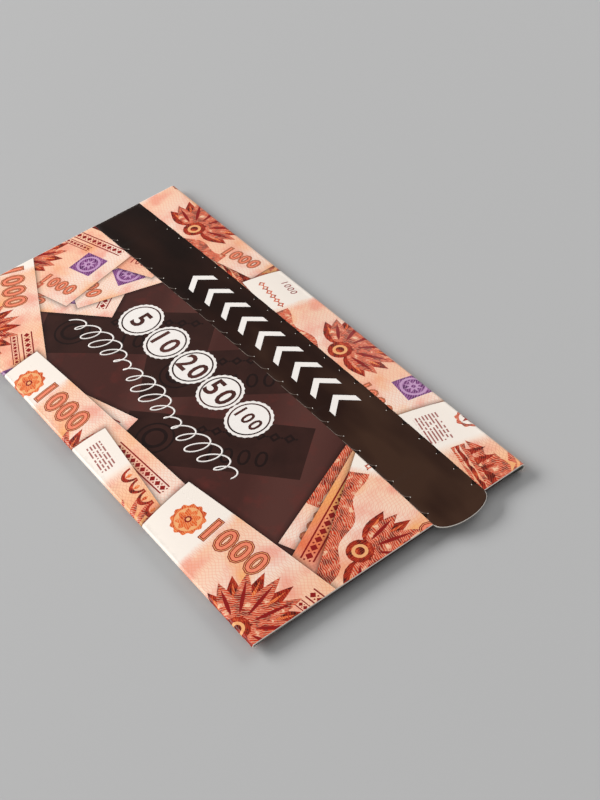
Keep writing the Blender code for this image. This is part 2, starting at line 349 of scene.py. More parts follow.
def speckle(tree, place, scale, detail=2.0, roughness=0.5):
    """A cloudy pattern of numbers round one half."""
    inputs = {"Vector": place, "Scale": scale, "Detail": detail, "Roughness": roughness}
    return Flow(node(tree, "ShaderNodeTexNoise", **inputs).outputs["Fac"])


def ramp(tree, share, stops):
    """A run of colours: each stop is a place from 0 to 1 and a colour."""
    made = node(tree, "ShaderNodeValToRGB", Fac=share)
    band = made.color_ramp
    while len(band.elements) < len(stops):
        band.elements.new(0.5)
    for element, (place, color) in zip(band.elements, stops):
        element.position = place
        element.color = color
    return made.outputs["Color"]


def new_material(name):
    """A material, its tree and its shader."""
    material = bpy.data.materials.new(name)
    material.use_nodes = True
    tree = material.node_tree
    return material, tree, tree.nodes["Principled BSDF"]


def relief(tree, shader, height, strength, distance):
    """Bumps too fine to be made of mesh."""
    bump = step(tree, "ShaderNodeBump", Height=height, Strength=strength, Distance=distance)
    feed(shader.inputs["Normal"], bump)


print("helpers for colour: tint, ramp; for pattern: parts, axes, speckle; for finish: new_material, relief")

# %% Table paper
table_grey = screen(182, 182, 182)
table_pale = screen(188, 188, 188)
table_roughness = 0.75
mottle_scale = 9.0
mottle_share = 0.10
grain_scale = 1400.0
grain_bumps = 0.05
grain_height = 0.0001
table, tree, shader = new_material("table_paper")
place = node(tree, "ShaderNodeTexCoord").outputs["Object"]
mottle = speckle(tree, place, mottle_scale, detail=3.0)
feed(shader.inputs["Base Color"], tint(tree, mottle * mottle_share, table_grey, table_pale))
shader.inputs["Roughness"].default_value = table_roughness
relief(tree, shader, speckle(tree, place, grain_scale), grain_bumps, grain_height)
print("table paper's roughness", table_roughness)

# %% Table sheet
table_reach = 3.0
opened_flap_depth = 0.44
table_drop = Matrix.Translation((0.0, 0.0, -opened_flap_depth * MM))
sheet = bmesh.new()
bmesh.ops.create_grid(sheet, x_segments=8, y_segments=8, size=table_reach, matrix=table_drop)
table_mesh = bpy.data.meshes.new("table")
sheet.to_mesh(table_mesh)
sheet.free()
table_mesh.materials.append(table)
table_top = in_scene("table", table_mesh)
print("table", table_reach * 2, "m wide")

# %% [markdown]
# ## The print's finish
#
# The card is printed and then covered with a satin film. The film gives one soft shine over every
# colour, with a very fine unevenness like orange peel. So all inks share one recipe: a colour of
# their own, a soft shadow where one printed note seems to lie on another, and the film on top.
# The shadow is stored on the mesh as an attribute, because it is part of the picture.

# %% The recipe for film-covered ink
film_roughness = 0.34
roughness_swing = 0.08
film_shine = 0.20
film_relief = 0.00003
film_bumps = 0.35
shadow_depth = 0.66
ink_grain = 5.5
ink_grain_share = 0.14
grain_dark = screen(90, 90, 90)
grain_pale = screen(200, 200, 200)
peel_grain = 0.9
warp_grain = 0.06
warp_height = 6.0


def film_covered(name, paint, roughness=film_roughness, shine=film_shine):
    """A printed, film-covered finish. paint draws the ink's colour into the tree."""
    material, tree, shader = new_material(name)
    shade = Flow(node(tree, "ShaderNodeAttribute", {"attribute_name": "shade"}).outputs["Fac"])
    kept = 1.0 - shade * shadow_depth
    dark = step(tree, "ShaderNodeCombineColor", Red=kept, Green=kept, Blue=kept)
    color = tint(tree, 1.0, paint(tree), dark, "MULTIPLY")
    place = axes(tree, "sheet")[2]
    dots = ramp(tree, speckle(tree, place, ink_grain), [(0.3, grain_dark), (0.7, grain_pale)])
    feed(shader.inputs["Base Color"], tint(tree, ink_grain_share, color, dots, "OVERLAY"))
    peel = speckle(tree, place, peel_grain)
    warp = speckle(tree, place, warp_grain, detail=1.0)
    feed(shader.inputs["Roughness"], peel * roughness_swing + (roughness - roughness_swing / 2))
    relief(tree, shader, peel + warp * warp_height, film_bumps, film_relief)
    shader.inputs["Specular IOR Level"].default_value = shine
    return material


print("film roughness", film_roughness)

# %% Solid ink and engraved ink
tone_scale = 0.42
wobble_scale = 0.35
wobble_reach = 2.2
gap_level = 0.1
gap_gain = 2.0


def flat_ink(color, other, scale):
    """Paint for one solid ink, slightly uneven between two close colours."""

    def paint(tree):
        place = axes(tree, "sheet")[2]
        return tint(tree, speckle(tree, place, scale, detail=3.0), color, other)

    return paint


def engraved_ink(deep, color, pale, pitch, slant, share):
    """Paint for a motif cut in fine parallel lines, with dark and light parts as an engraver makes them."""

    def paint(tree):
        u, v, place = axes(tree, "print")
        tone = speckle(tree, place, tone_scale, detail=4.0, roughness=0.62)
        shading = ramp(tree, tone, [(0.41, deep), (0.50, color), (0.57, color), (0.68, pale)])
        wobble = speckle(tree, place, wobble_scale) * wobble_reach
        wave = ((v + (u * slant + wobble)) * (2 * math.pi / pitch)).sine()
        gap = (past(wave, gap_level, gap_gain) * tone * (2.0 * share)).clamped()
        return tint(tree, gap, shading, pale)

    return paint


print("engraved lines waver by up to", wobble_reach, "mm")

# %% [markdown]
# ## Paper of the printed notes
#
# The picture on this envelope is a scatter of notes around a dark field. These are play notes of this
# lesson's own design. Their paper runs from cream through peach to coral, with a net of very fine
# waving lines over it, as such paper has against copying. Drawing every line as a shape would be
# heavy, so the net is a wave formula in the material, read from a map that is measured in
# millimetres from each note's own corner.

# %% Note paper
note_length = 74.0
note_height = 32.0
note_half = np.array([note_length, note_height]) / 2
cream = screen(253, 242, 231)
peach = screen(254, 208, 176)
coral = screen(240, 126, 84)
rose = screen(244, 152, 130)
amber = screen(252, 182, 108)
blush = screen(253, 228, 211)
dark_red = screen(150, 34, 28)
rust = screen(196, 70, 40)
print("note paper", note_length, "by", note_height, "mm")

# %% Net of fine lines and rows of small bars
net_pitch = 1.15
net_swing = 1.5
net_turn = 0.62
line_level = 0.72
line_gain = 4.0
bar_pitch = 0.95
bar_height = 0.45
bar_columns = (3.0, 13.5)
bar_rows = ((4.2, 11.4), (24.2, 29.4))
break_scale = 1.1
row_shift = 7.3
break_level = 0.42


def line_net(u, v):
    """Two families of waving lines that cross, as a share from 0 to 1."""
    swing = (u * net_turn).sine() * net_swing
    waves = [(line * (2 * math.pi / net_pitch)).sine() for line in (v + swing, v - swing)]
    first, second = (past(wave, line_level, line_gain) for wave in waves)
    return first.larger(second)


def small_bars(tree, u, v):
    """Two blocks of broken bars in the note's margin."""
    row = (v / bar_pitch).floor()
    spot = step(tree, "ShaderNodeCombineXYZ", X=u * break_scale, Y=row * row_shift)
    broken = speckle(tree, spot, 1.0, detail=0.0) > break_level
    blocks = between(v, *bar_rows[0]) + between(v, *bar_rows[1])
    return (v % bar_pitch < bar_height) * broken * blocks * between(u, *bar_columns)


print("lines of the net lie", net_pitch, "mm apart")

# %% Paint for a note
margin_end = 16.0
margin_gain = 0.5
cloud_scale = 0.11
cloud_level = 0.47
cloud_gain = 6.0
cloud_share = 0.6
glow_scale = 0.07
glow_level = 0.54
glow_gain = 5.0
bar_share = 0.85


def note_paper(stops, line_color, line_share, with_bars):
    """Paint for a note: a run of colours, pink clouds, a net of fine lines, and small bars."""

    def paint(tree):
        u, v, place = axes(tree, "print")
        ground = ramp(tree, u / note_length, stops)
        inside = past(u, margin_end, margin_gain)
        cloud = past(speckle(tree, place, cloud_scale, detail=3.0), cloud_level, cloud_gain)
        ground = tint(tree, cloud * inside * cloud_share, ground, rose)
        glow = past(speckle(tree, place, glow_scale), glow_level, glow_gain)
        ground = tint(tree, glow * inside, ground, amber)
        ground = tint(tree, line_net(u, v) * inside * line_share, ground, line_color)
        if not with_bars:
            return ground
        return tint(tree, small_bars(tree, u, v) * bar_share, ground, dark_red)

    return paint


face_stops = [(0.0, cream), (0.22, cream), (0.26, peach), (0.48, blush)]
face_stops += [(0.62, peach), (0.80, peach), (0.9, blush)]
scene_stops = [(0.0, cream), (0.20, cream), (0.26, peach), (0.50, amber), (0.76, coral), (0.90, peach)]
finishes = {
    "note_face": film_covered("note_face_paper", note_paper(face_stops, coral, 0.30, False)),
    "note_scene": film_covered("note_scene_paper", note_paper(scene_stops, rust, 0.26, True)),
}
print("note papers", len(finishes))

# %% [markdown]
# ## Inks
#
# Nine inks draw everything on the notes and the coins. Five are flat: dark red, coral, pale orange,
# lilac and cream. Four are engraved, which means that they are made of fine parallel lines with
# paper showing between them: orange, red, rust and violet. The field behind the notes is a very dark
# maroon, and the strip is a dark warm brown.

# %% Ink finishes
pale_paper = screen(250, 206, 168)
flat_inks = {
    "dark_red": (screen(160, 26, 22), screen(132, 18, 16), 0.9),
    "coral": (screen(238, 112, 80), screen(252, 164, 128), 1.2),
    "pale_orange": (screen(250, 198, 138), screen(242, 160, 100), 1.5),
    "lilac": (screen(216, 176, 208), screen(186, 134, 186), 1.5),
    "cream": (screen(252, 247, 242), screen(246, 238, 232), 0.6),
}
for ink, (color, other, scale) in flat_inks.items():
    finishes[ink] = film_covered("ink_" + ink, flat_ink(color, other, scale))
engraved_inks = {
    "orange": (screen(204, 64, 24), screen(234, 104, 44), screen(250, 184, 124), 0.55, 0.4, 0.5),
    "engraved_red": (screen(84, 12, 8), screen(158, 28, 14), screen(228, 98, 56), 0.62, 0.55, 0.36),
    "engraved_rust": (screen(142, 22, 10), screen(214, 64, 28), pale_paper, 0.70, -0.8, 0.52),
    "violet": (screen(78, 26, 84), screen(116, 50, 116), screen(186, 130, 180), 0.9, 1.0, 0.7),
}
for ink, recipe in engraved_inks.items():
    finishes[ink] = film_covered("ink_" + ink, engraved_ink(*recipe))
print("inks", len(flat_inks) + len(engraved_inks), "finishes so far", len(finishes))

# %% [markdown]
# The strip's brown is nearly black at its far end and a little warmer towards the tab. That change along the
# strip is painted light: it stands in for the film's reflection of the room, which is darker at the far end.
# A slow speckle, stretched along the strip, gives the uneven tone that a large printed solid has.

# %% The strip's brown
strip_deep = screen(26, 12, 7)
strip_middle_brown = screen(42, 22, 15)
strip_warm = screen(66, 43, 31)
patch_along = 0.035
patch_across = 0.09
patch_swing = 0.5
patch_level = 0.25
# painted light: the strip darkens towards its far end, standing in for the film's darker reflection there
painted_light_along = 0.0018


def strip_paint(tree):
    """Very dark brown, slow warm patches, and painted light along the strip that deepens its far end."""
    u, v, _ = axes(tree, "sheet")
    spot = step(tree, "ShaderNodeCombineXYZ", X=u * patch_along, Y=v * patch_across)
    # u * painted_light_along is painted light: darker towards the far end, lighter towards the tab
    slow = speckle(tree, spot, 1.0) * patch_swing + patch_level + u * painted_light_along
    return ramp(tree, slow, [(0.36, strip_deep), (0.50, strip_middle_brown), (0.64, strip_warm)])


strip_roughness = 0.30
strip_shine = 0.10
finishes["strip_brown"] = film_covered("ink_strip_brown_and_painted_light", strip_paint, strip_roughness, strip_shine)
print("strip roughness", strip_roughness)

# %% The dark field
field_brown = screen(102, 62, 55)
field_deep = screen(74, 40, 35)
field_red = screen(116, 46, 40)
field_green = screen(52, 66, 46)
wave_along = 0.11
wave_across = 0.09
wave_swing = 0.5
blot_scale = 0.16
blot_level = 0.52
blot_gain = 5.0
blot_share = 0.35
green_place = (14.0, -25.0, 0.0)
green_size = 8.0
green_share = 0.55
dark_shine = 0.14


def field_paint(tree):
    """Maroon with faint broad bands, small worn marks and one dim green patch."""
    u, v, place = axes(tree, "sheet")
    band = ((u * wave_along + v * wave_across).sine() * wave_swing + 1.0).clamped()
    color = tint(tree, band, field_brown, field_deep)
    blots = past(speckle(tree, place, blot_scale, detail=4.0, roughness=0.6), blot_level, blot_gain)
    color = tint(tree, blots * blot_share, color, field_red)
    away = node(tree, "ShaderNodeVectorMath", {"operation": "DISTANCE"})
    feed(away.inputs[0], place)
    feed(away.inputs[1], green_place)
    near = (1.0 - Flow(away.outputs["Value"]) / green_size).clamped()
    return tint(tree, near * green_share, color, field_green)


finishes["field"] = film_covered("dark_field", field_paint, shine=dark_shine)
ghost_paint = flat_ink(screen(34, 17, 13), screen(68, 38, 32), 0.12)
finishes["ghost"] = film_covered("faint_motif", ghost_paint, shine=dark_shine)
line_paint = flat_ink(screen(28, 14, 12), screen(38, 20, 17), 0.8)
finishes["faint_line"] = film_covered("faint_line", line_paint, shine=dark_shine)
print("finishes for print", len(finishes))

# %% [markdown]
# ## Bare card and glue
#
# Where the card is cut, its white core shows as a thin pale line, and inside the pocket the board is
# unprinted. Board is matt, very slightly fibrous and not quite white.

# %% Finishes for board, cut edges, glue and liner
fibre_stretch = (0.12, 1.0, 1.0)
fibre_bumps = 0.4
fibre_swing = 0.1
fleck_scale = 1.6
fleck_level = 0.60
fleck_gain = 2.0


def matt(name, color, other, roughness, scale, height):
    """A matt fibrous finish on Object coordinates: dark flecks and long fibres on an even ground."""
    material, tree, shader = new_material(name)
    place = node(tree, "ShaderNodeTexCoord").outputs["Object"]
    fibres = speckle(tree, place, scale, detail=6.0, roughness=0.65)
    stretched = step(tree, "ShaderNodeMapping", Vector=place, Scale=fibre_stretch)
    fleck = past(speckle(tree, stretched, scale * fleck_scale, detail=3.0), fleck_level, fleck_gain)
    ground = tint(tree, fibres, color, other)
    shadow = tint(tree, 0.5, color, other, "MULTIPLY")
    feed(shader.inputs["Base Color"], tint(tree, fleck, ground, shadow))
    feed(shader.inputs["Roughness"], fibres * fibre_swing + (roughness - fibre_swing / 2))
    relief(tree, shader, fibres, fibre_bumps, height)
    return material


matt_recipes = {
    "board": ("inner_board", screen(226, 222, 214), screen(238, 235, 228), 0.8, 900.0, 0.00003),
    "cut_edge": ("cut_edge_board", screen(244, 239, 231), screen(228, 218, 208), 0.8, 2500.0, 0.00004),
    "pressed_edge": ("pressed_edge", screen(150, 132, 120), screen(110, 94, 86), 0.8, 2500.0, 0.00004),
    "liner": ("liner_paper", screen(240, 238, 232), screen(228, 226, 218), 0.45, 500.0, 0.00001),
    "glue": ("dried_glue", screen(216, 208, 188), screen(196, 186, 160), 0.35, 700.0, 0.00005),
}
for finish, recipe in matt_recipes.items():
    finishes[finish] = matt(*recipe)
print("finishes", len(finishes))

# %% [markdown]
# ## Shapes for the picture
#
# The picture is built from flat outlines in millimetres: rectangles, rings, stars and petals from
# small formulas, and plain digits from Blender's own font. One outline inside another makes a hole,
# as the eye of a nought does. A shape is an ink and its outlines.

# %% Outlines by formula
def turned(points, angle, centre=(0.0, 0.0)):
    """Points turned by an angle in degrees and moved to a centre."""
    points = np.asarray(points, float)
    c, s = math.cos(math.radians(angle)), math.sin(math.radians(angle))
    return points @ np.array([[c, s], [-s, c]]) + np.asarray(centre, float)


def box_outline(low_x, low_y, high_x, high_y):
    """A rectangle between two corners."""
    return np.array([(low_x, low_y), (high_x, low_y), (high_x, high_y), (low_x, high_y)], float)


def disc(x, y, radius, points, lobes=0, depth=0.0):
    """A round outline, scalloped where it has lobes."""
    angles = np.arange(points) / points * 2 * math.pi
    reach = radius * (1 + depth * np.cos(angles * lobes))
    return np.stack([x + reach * np.cos(angles), y + reach * np.sin(angles)], -1)


def star(x, y, outer, inner, rays):
    """A star with pointed rays."""
    angles = np.arange(2 * rays) / rays * math.pi
    reach = np.where(np.arange(2 * rays) % 2 == 0, outer, inner)
    return np.stack([x + reach * np.cos(angles), y + reach * np.sin(angles)], -1)


def petal(x, y, angle, start, end, width):
    """A leaf shape that points away from a centre."""
    t = np.linspace(0, 1, 7)
    half = width / 2 * np.sin(t**0.8 * math.pi)
    upper = np.stack([start + (end - start) * t, half], -1)
    lower = np.stack([start + (end - start) * t[1:-1][::-1], -half[1:-1][::-1]], -1)
    return turned(np.concatenate([upper, lower]), angle, (x, y))


def wave_band(start, end, low, high, swing, length):
    """A band between a straight lower line and a waving upper one."""
    x = np.linspace(start, end, 25)
    upper = high + swing * np.sin(x / length * 2 * math.pi)
    top = np.stack([x, upper], -1)
    return np.concatenate([[(start, low), (end, low)], top[::-1]])


print("a scalloped disc has", len(disc(0, 0, 4, 48, lobes=12, depth=0.08)), "points")

# %% Border loops of a flat mesh
digit_weld = 1e-5


def loops_of(mesh):
    """The border loops of a flat mesh, as outlines."""
    shape = bmesh.new()
    shape.from_mesh(mesh)
    bmesh.ops.remove_doubles(shape, verts=shape.verts, dist=digit_weld)
    follows = {}
    for edge in shape.edges:
        if edge.is_boundary:
            loop = edge.link_loops[0]
            follows[loop.vert.index] = loop.link_loop_next.vert.index
    spots = {vert.index: (vert.co.x, vert.co.y) for vert in shape.verts}
    outlines = []
    while follows:
        here = next(iter(follows))
        outline = []
        while here in follows:
            outline.append(spots[here])
            here = follows.pop(here)
        outlines.append(np.array(outline))
    shape.free()
    return outlines


print("points of a digit closer than", digit_weld, "are merged")

# %% Plain digits from the font
digit_height = 0.71
digit_spacing = 1.20


def digits(text, weight):
    """Outlines of a plain number, one unit high and centred. weight swells or thins its strokes."""
    curve = bpy.data.curves.new("digits", "FONT")
    curve.body = text
    curve.size = 1.0 / digit_height
    curve.offset = weight
    curve.resolution_u = 3
    curve.space_character = digit_spacing
    holder = in_scene("digits", curve)
    graph = bpy.context.evaluated_depsgraph_get()
    mesh = bpy.data.meshes.new_from_object(holder.evaluated_get(graph))
    outlines = loops_of(mesh)
    bpy.data.objects.remove(holder)
    bpy.data.curves.remove(curve)
    bpy.data.meshes.remove(mesh)
    everything = np.concatenate(outlines)
    middle = (everything.min(0) + everything.max(0)) / 2
    return [outline - middle for outline in outlines]


def number(text, x, y, height, weight):
    """Outlines of a number in millimetres, at its place."""
    return [outline * height + [x, y] for outline in digits(text, weight)]


nought = np.concatenate(digits("0", 0.0))
print("a nought is", round(float(np.ptp(nought[:, 1])), 3), "high")

# %% [markdown]
# ## Two notes
#
# Both notes are made up for this lesson. The first carries a scalloped rosette, a large number in
# four layered outlines, a fan of leaves and a violet badge with a star in a ring. The second carries
# a sunrise over mountains and water, a garland of arches, a star in a scalloped ring and smaller
# numbers. Rows of lozenges between rails fill the long lines of both. A motif could be one filled
# shape in one ink, but layers of two or three inks are what makes such print look rich.

# %% Rosette, leaves and badge
def rosette(x, y, radius):
    """A scalloped disc with eight petals."""
    shapes = [("orange", [disc(x, y, radius, 60, lobes=12, depth=0.07)])]
    shapes.append(("pale_orange", [disc(x, y, radius * 0.80, 40)]))
    for k in range(8):
        shapes.append(("orange", [petal(x, y, 45 * k, radius * 0.18, radius * 0.76, radius * 0.40)]))
    shapes.append(("dark_red", [disc(x, y, radius * 0.22, 16), disc(x, y, radius * 0.12, 12)]))
    return shapes


def leaf_fan(x, y, reach, spread, leaves, angle):
    """Long leaves round a centre, dark ones behind light ones, each with a rib of the other ink."""
    shapes = []
    for layer, (ink, rib) in enumerate((("engraved_red", "orange"), ("engraved_rust", "dark_red"))):
        for k in range(layer, leaves, 2):
            lean = angle + spread * (k / (leaves - 1) - 0.5)
            length = reach * (0.74 + 0.26 * math.cos(math.radians(lean - angle)))
            shapes.append((ink, [petal(x, y, lean, reach * 0.14, length, reach * 0.26)]))
            shapes.append((rib, [petal(x, y, lean, reach * 0.24, length * 0.86, reach * 0.06)]))
    shapes.append(("engraved_red", [disc(x, y, reach * 0.2, 18)]))
    shapes.append(("pale_orange", [disc(x, y, reach * 0.12, 14), disc(x, y, reach * 0.07, 14)]))
    return shapes


def badge(x, y, size):
    """A violet square with a star in a ring."""
    half = size / 2
    shapes = [("violet", [box_outline(x - half, y - half, x + half, y + half)])]
    shapes.append(("lilac", [disc(x, y, half * 0.88, 24), disc(x, y, half * 0.70, 24)]))
    shapes.append(("lilac", [star(x, y, half * 0.62, half * 0.26, 8)]))
    shapes.append(("violet", [disc(x, y, half * 0.16, 10)]))
    return shapes


print("shapes in a rosette", len(rosette(0, 0, 1)), "in a badge", len(badge(0, 0, 1)))

# %% Layered numbers and borders
number_layers = (("dark_red", 0.115), ("pale_orange", 0.074), ("dark_red", 0.048), ("coral", 0.006))


def bold_number(text, x, y, height):
    """Digits in layered outlines: dark, pale, dark again, and a coral middle."""
    return [(ink, number(text, x, y, height, weight)) for ink, weight in number_layers]


def lozenge_row(x, y, length, height, ink):
    """A row of lozenges with open middles, and a dot between each two."""
    count = max(2, round(length / (height * 1.25)))
    pitch = length / count
    shapes = []
    for k in range(count):
        middle = x + pitch * (k + 0.5)
        shapes.append((ink, [disc(middle, y, height * share, 4) for share in (0.56, 0.24)]))
        shapes.append((ink, [disc(middle + pitch / 2, y, height * 0.12, 6)]))
    return shapes


def rail_row(x, y, length, height):
    """A dense border: solid lozenges and dots between two thin rails."""
    count = max(2, round(length / (height * 0.78)))
    pitch = length / count
    outlines = []
    for side in (-1, 1):
        rail = y + side * height * 0.5
        outlines.append(box_outline(x, rail - height * 0.07, x + length, rail + height * 0.07))
    for k in range(count):
        middle = x + pitch * (k + 0.5)
        outlines.append(disc(middle, y, height * 0.32, 4))
        outlines += [disc(middle + pitch / 2, y + side * height * 0.22, height * 0.09, 6) for side in (1, -1)]
    return [("dark_red", [outline]) for outline in outlines]


print("a number's outlines are layered", len(number_layers), "deep")

# %% Mountains, sunrise and garland
def peaks(x, y, width, height, ink, snow=None):
    """A range of mountains, with pale tops where snow names an ink."""
    rise = [(0, 0), (0.10, 0.36), (0.16, 0.28), (0.32, 0.92), (0.40, 0.62), (0.46, 0.70), (0.60, 0.30)]
    rise += [(0.72, 0.78), (0.80, 0.50), (0.90, 0.24), (1, 0)]
    outline = np.array(rise) * [width, height] + [x - width / 2, y]
    shapes = [(ink, [outline])]
    if snow:
        for tip_x, tip_y, drop in ((0.32, 0.92, 0.26), (0.72, 0.78, 0.20)):
            cap = [(tip_x, tip_y), (tip_x - drop * 0.26, tip_y - drop), (tip_x, tip_y - drop * 0.7)]
            cap.append((tip_x + drop * 0.22, tip_y - drop * 1.1))
            shapes.append((snow, [np.array(cap) * [width, height] + [x - width / 2, y]]))
    return shapes


def pine(x, y, height, ink):
    """A pine of three stacked tiers."""
    shapes = []
    for k in range(3):
        low, half = y + height * 0.24 * k, height * (0.26 - 0.06 * k)
        tier = [(x - half, low), (x + half, low), (x, low + height * 0.44)]
        shapes.append((ink, [np.array(tier)]))
    return shapes


def sunrise(x, y, width):
    """A rayed sun behind two ranges of mountains, with pines and water before them."""
    shapes = []
    for k in range(13):
        shapes.append(("engraved_rust", [petal(x, y, 15 * k, width * 0.17, width * 0.36, width * 0.045)]))
    shapes.append(("orange", [disc(x, y, width * 0.155, 30)]))
    shapes += peaks(x - width * 0.05, y - 4.6, width * 0.94, 8.6, "engraved_rust", "pale_orange")
    shapes += peaks(x + width * 0.12, y - 5.4, width * 0.80, 6.0, "engraved_red")
    for share, size in ((-0.42, 5.2), (-0.34, 6.4), (-0.27, 4.6), (0.36, 5.6), (0.43, 4.4)):
        shapes += pine(x + width * share, y - 5.6, size, "engraved_red")
    half = width / 2
    waves = ((5.4, 2.0, "engraved_rust"), (7.0, 1.7, "engraved_red"), (8.3, 1.3, "engraved_rust"))
    for low, rise, ink in waves:
        shapes.append((ink, [wave_band(x - half, x + half, y - low - rise * 0.6, y - low, 0.35, 5.0)]))
    return shapes


def garland(x, y, length, height, arches):
    """A row of hanging arches with a drop under each."""
    shapes = []
    pitch = length / arches
    for k in range(arches):
        middle = x + pitch * (k + 0.5 - arches / 2)
        angles = np.linspace(math.pi, 2 * math.pi, 13)
        outer = np.stack([middle + pitch / 2 * np.cos(angles), y + height * np.sin(angles)], -1)
        inner = np.stack([middle + pitch * 0.36 * np.cos(angles), y + height * 0.66 * np.sin(angles)], -1)
        shapes.append(("engraved_red", [np.concatenate([outer, inner[::-1]])]))
        shapes.append(("orange", [petal(middle, y - height * 0.1, -90, 0.0, height * 0.6, pitch * 0.22)]))
    return shapes


print("shapes in a sunrise", len(sunrise(0, 0, 43)))

# %% The two notes
def face_note():
    """Rosette, large number, leaves, a line of lozenges and the violet badge."""
    shapes = [("engraved_rust", [wave_band(18.0, 60.0, 0.0, 4.2, 1.1, 15.0)])]
    shapes += leaf_fan(42.0, 8.6, 17.5, 168, 13, 84)
    shapes += rosette(8.8, 23.6, 4.6)
    shapes += bold_number("1000", 24.8, 25.0, 6.4)
    shapes += rail_row(48.0, 27.2, 22.5, 2.9)
    shapes += rail_row(48.0, 23.4, 12.0, 2.0)
    shapes += badge(65.2, 17.8, 8.6)
    shapes += bold_number("1000", 64.4, 6.0, 4.2)
    shapes += lozenge_row(2.6, 4.4, 14.0, 2.0, "engraved_rust")
    shapes += [("dark_red", number("1000", 9.4, 10.6, 2.2, 0.01))]
    return shapes


def scene_note():
    """Sunrise over mountains, a garland, lozenges and smaller numbers."""
    shapes = sunrise(38.0, 17.6, 43.0)
    shapes += garland(38.0, 31.2, 42.0, 3.6, 9)
    shapes += rail_row(17.0, 3.9, 43.0, 3.4)
    shapes += bold_number("1000", 66.6, 27.0, 3.8)
    shapes += [("dark_red", number("1000", 66.6, 4.8, 2.4, 0.02))]
    scalloped = disc(8.4, 17.8, 3.5, 36, lobes=9, depth=0.08)
    shapes += [("engraved_rust", [scalloped, disc(8.4, 17.8, 2.5, 24)])]
    shapes += [("engraved_red", [star(8.4, 17.8, 2.2, 0.9, 5)])]
    return shapes


note_designs = {"note_face": face_note(), "note_scene": scene_note()}
print({kind: len(shapes) for kind, shapes in note_designs.items()})

# %% [markdown]
# ## Laying out the picture
#
# The notes lie in fans around the field, each at its own angle, and later ones lie on earlier ones.
# Each is given by the middle of the note and its slant.

# %% Where the notes lie
lower_notes = [
    ("note_scene", -86.0, -20.0, 62.0),
    ("note_face", -74.0, 12.0, -52.0),
    ("note_face", -80.0, 14.0, -18.0),
    ("note_scene", -86.0, 12.0, 22.0),
    ("note_face", -93.0, -8.0, 14.0),
    ("note_face", 62.0, 20.0, -66.0),
    ("note_scene", 71.0, 8.0, -62.0),
    ("note_face", 80.0, 2.0, -52.0),
    ("note_face", -28.0, -50.0, 17.0),
    ("note_scene", 42.0, -46.0, 16.0),
    ("note_face", -66.0, -35.0, -24.0),
    ("note_face", -4.0, -45.0, 3.0),
    ("note_scene", 34.0, -52.0, -6.0),
    ("note_face", 70.0, -36.0, 9.0),
]
upper_notes = [
    ("note_face", -92.0, 34.0, 40.0),
    ("note_scene", -20.0, 33.0, -12.0),
    ("note_face", -64.0, 40.0, 13.0),
    ("note_scene", 46.0, 38.0, 12.0),
    ("note_face", 14.0, 41.0, -7.0),
    ("note_scene", 88.0, 34.0, -14.0),
]
print("notes below the strip", len(lower_notes), "above it", len(upper_notes))

# %% The picture as an ordered list of shapes
no_note = -1
first_upper = 100


def laid(points, note):
    """Points round a note's middle, turned and moved to where the note lies."""
    _, x, y, angle = note
    return turned(points, angle, (x, y))


def seen_from(spots, note):
    """Places on the print, measured from a note's middle along its own sides."""
    _, x, y, angle = note
    return turned(spots - np.array([x, y]), -angle)


def laid_out(notes, first_index):
    """Shapes of the notes in drawing order, each with the number of its note."""
    shapes = []
    paper = box_outline(0, 0, note_length, note_height) - note_half
    for index, note in enumerate(notes, first_index):
        design = note[0]
        shapes.append((design, [laid(paper, note)], index))
        for ink, outlines in note_designs[design]:
            shapes.append((ink, [laid(outline - note_half, note) for outline in outlines], index))
    return shapes


print("shapes below the strip", len(laid_out(lower_notes, 0)))

# %% [markdown]
# The dark field isn't empty. Faint broad slabs lie across it, as if more notes lay in deep shade, with
# a few dim rings on them. Over them stands a row of five bold coins with plain numbers.

# %% Coins and faint slabs on the field
coin_radius = 6.7
coin_pitch = 13.7
coin_y = -1.6
coin_middle = -4.0
coin_numbers = ("5", "10", "20", "50", "100")
coin_digit_share = 0.92
long_number_share = 0.60


def coin(x, y, radius, text):
    """A milled rim, a gap and a solid disc with a number cut out of it."""
    height = radius * (long_number_share if len(text) > 2 else coin_digit_share)
    milled = disc(x, y, radius, 96, lobes=24, depth=0.018)
    shapes = [("cream", [milled, disc(x, y, radius * 0.88, 48)], no_note)]
    shapes.append(("cream", [disc(x, y, radius * 0.81, 48)], no_note))
    shapes.append(("field", number(text, x, y, height, 0.035), no_note))
    return shapes


def slab(x, y, angle):
    """A faint note shape with rings and a line of lozenges."""
    shapes = [("ghost", [box_outline(-26, -9, 26, 9)])]
    shapes.append(("faint_line", [disc(-16, 0, 5.5, 40), disc(-16, 0, 4.9, 40)]))
    shapes.append(("faint_line", [disc(-16, 0, 3.6, 40), disc(-16, 0, 2.6, 40)]))
    shapes += lozenge_row(-6.0, 4.4, 28.0, 3.0, "faint_line")
    shapes.append(("faint_line", number("1000", 8.0, -3.6, 5.6, 0.0)))
    placed = []
    for ink, outlines in shapes:
        placed.append((ink, [turned(outline, angle, (x, y)) for outline in outlines], no_note))
    return placed


ghosts = slab(-30.0, -8.0, 44.0) + slab(6.0, 6.0, 50.0) + slab(24.0, -14.0, 40.0)
coins = []
for index, text in enumerate(coin_numbers):
    coins += coin(coin_middle + coin_pitch * (index - 2), coin_y, coin_radius, text)
print("coins in the row", len(coin_numbers), "shapes on the field", len(ghosts) + len(coins))

# %% [markdown]
# ## The tear line
#
# Each row of perforation is a line of hockey-stick cuts: a straight run, then a curl into the strip,
# then a short bridge of uncut card. Torn card follows the cuts and jumps the bridges. The gap is as
# wide as a knife where the card is cut, and half as wide at the bridges, where only a tear would
# part it. A boolean cut could make it, but drawing the line once and moving it to either side gives
# both neighbours their exact border. The knife also crushes the card beside it, so the card is
# thinner there, and the strip can turn out of the face without rubbing.

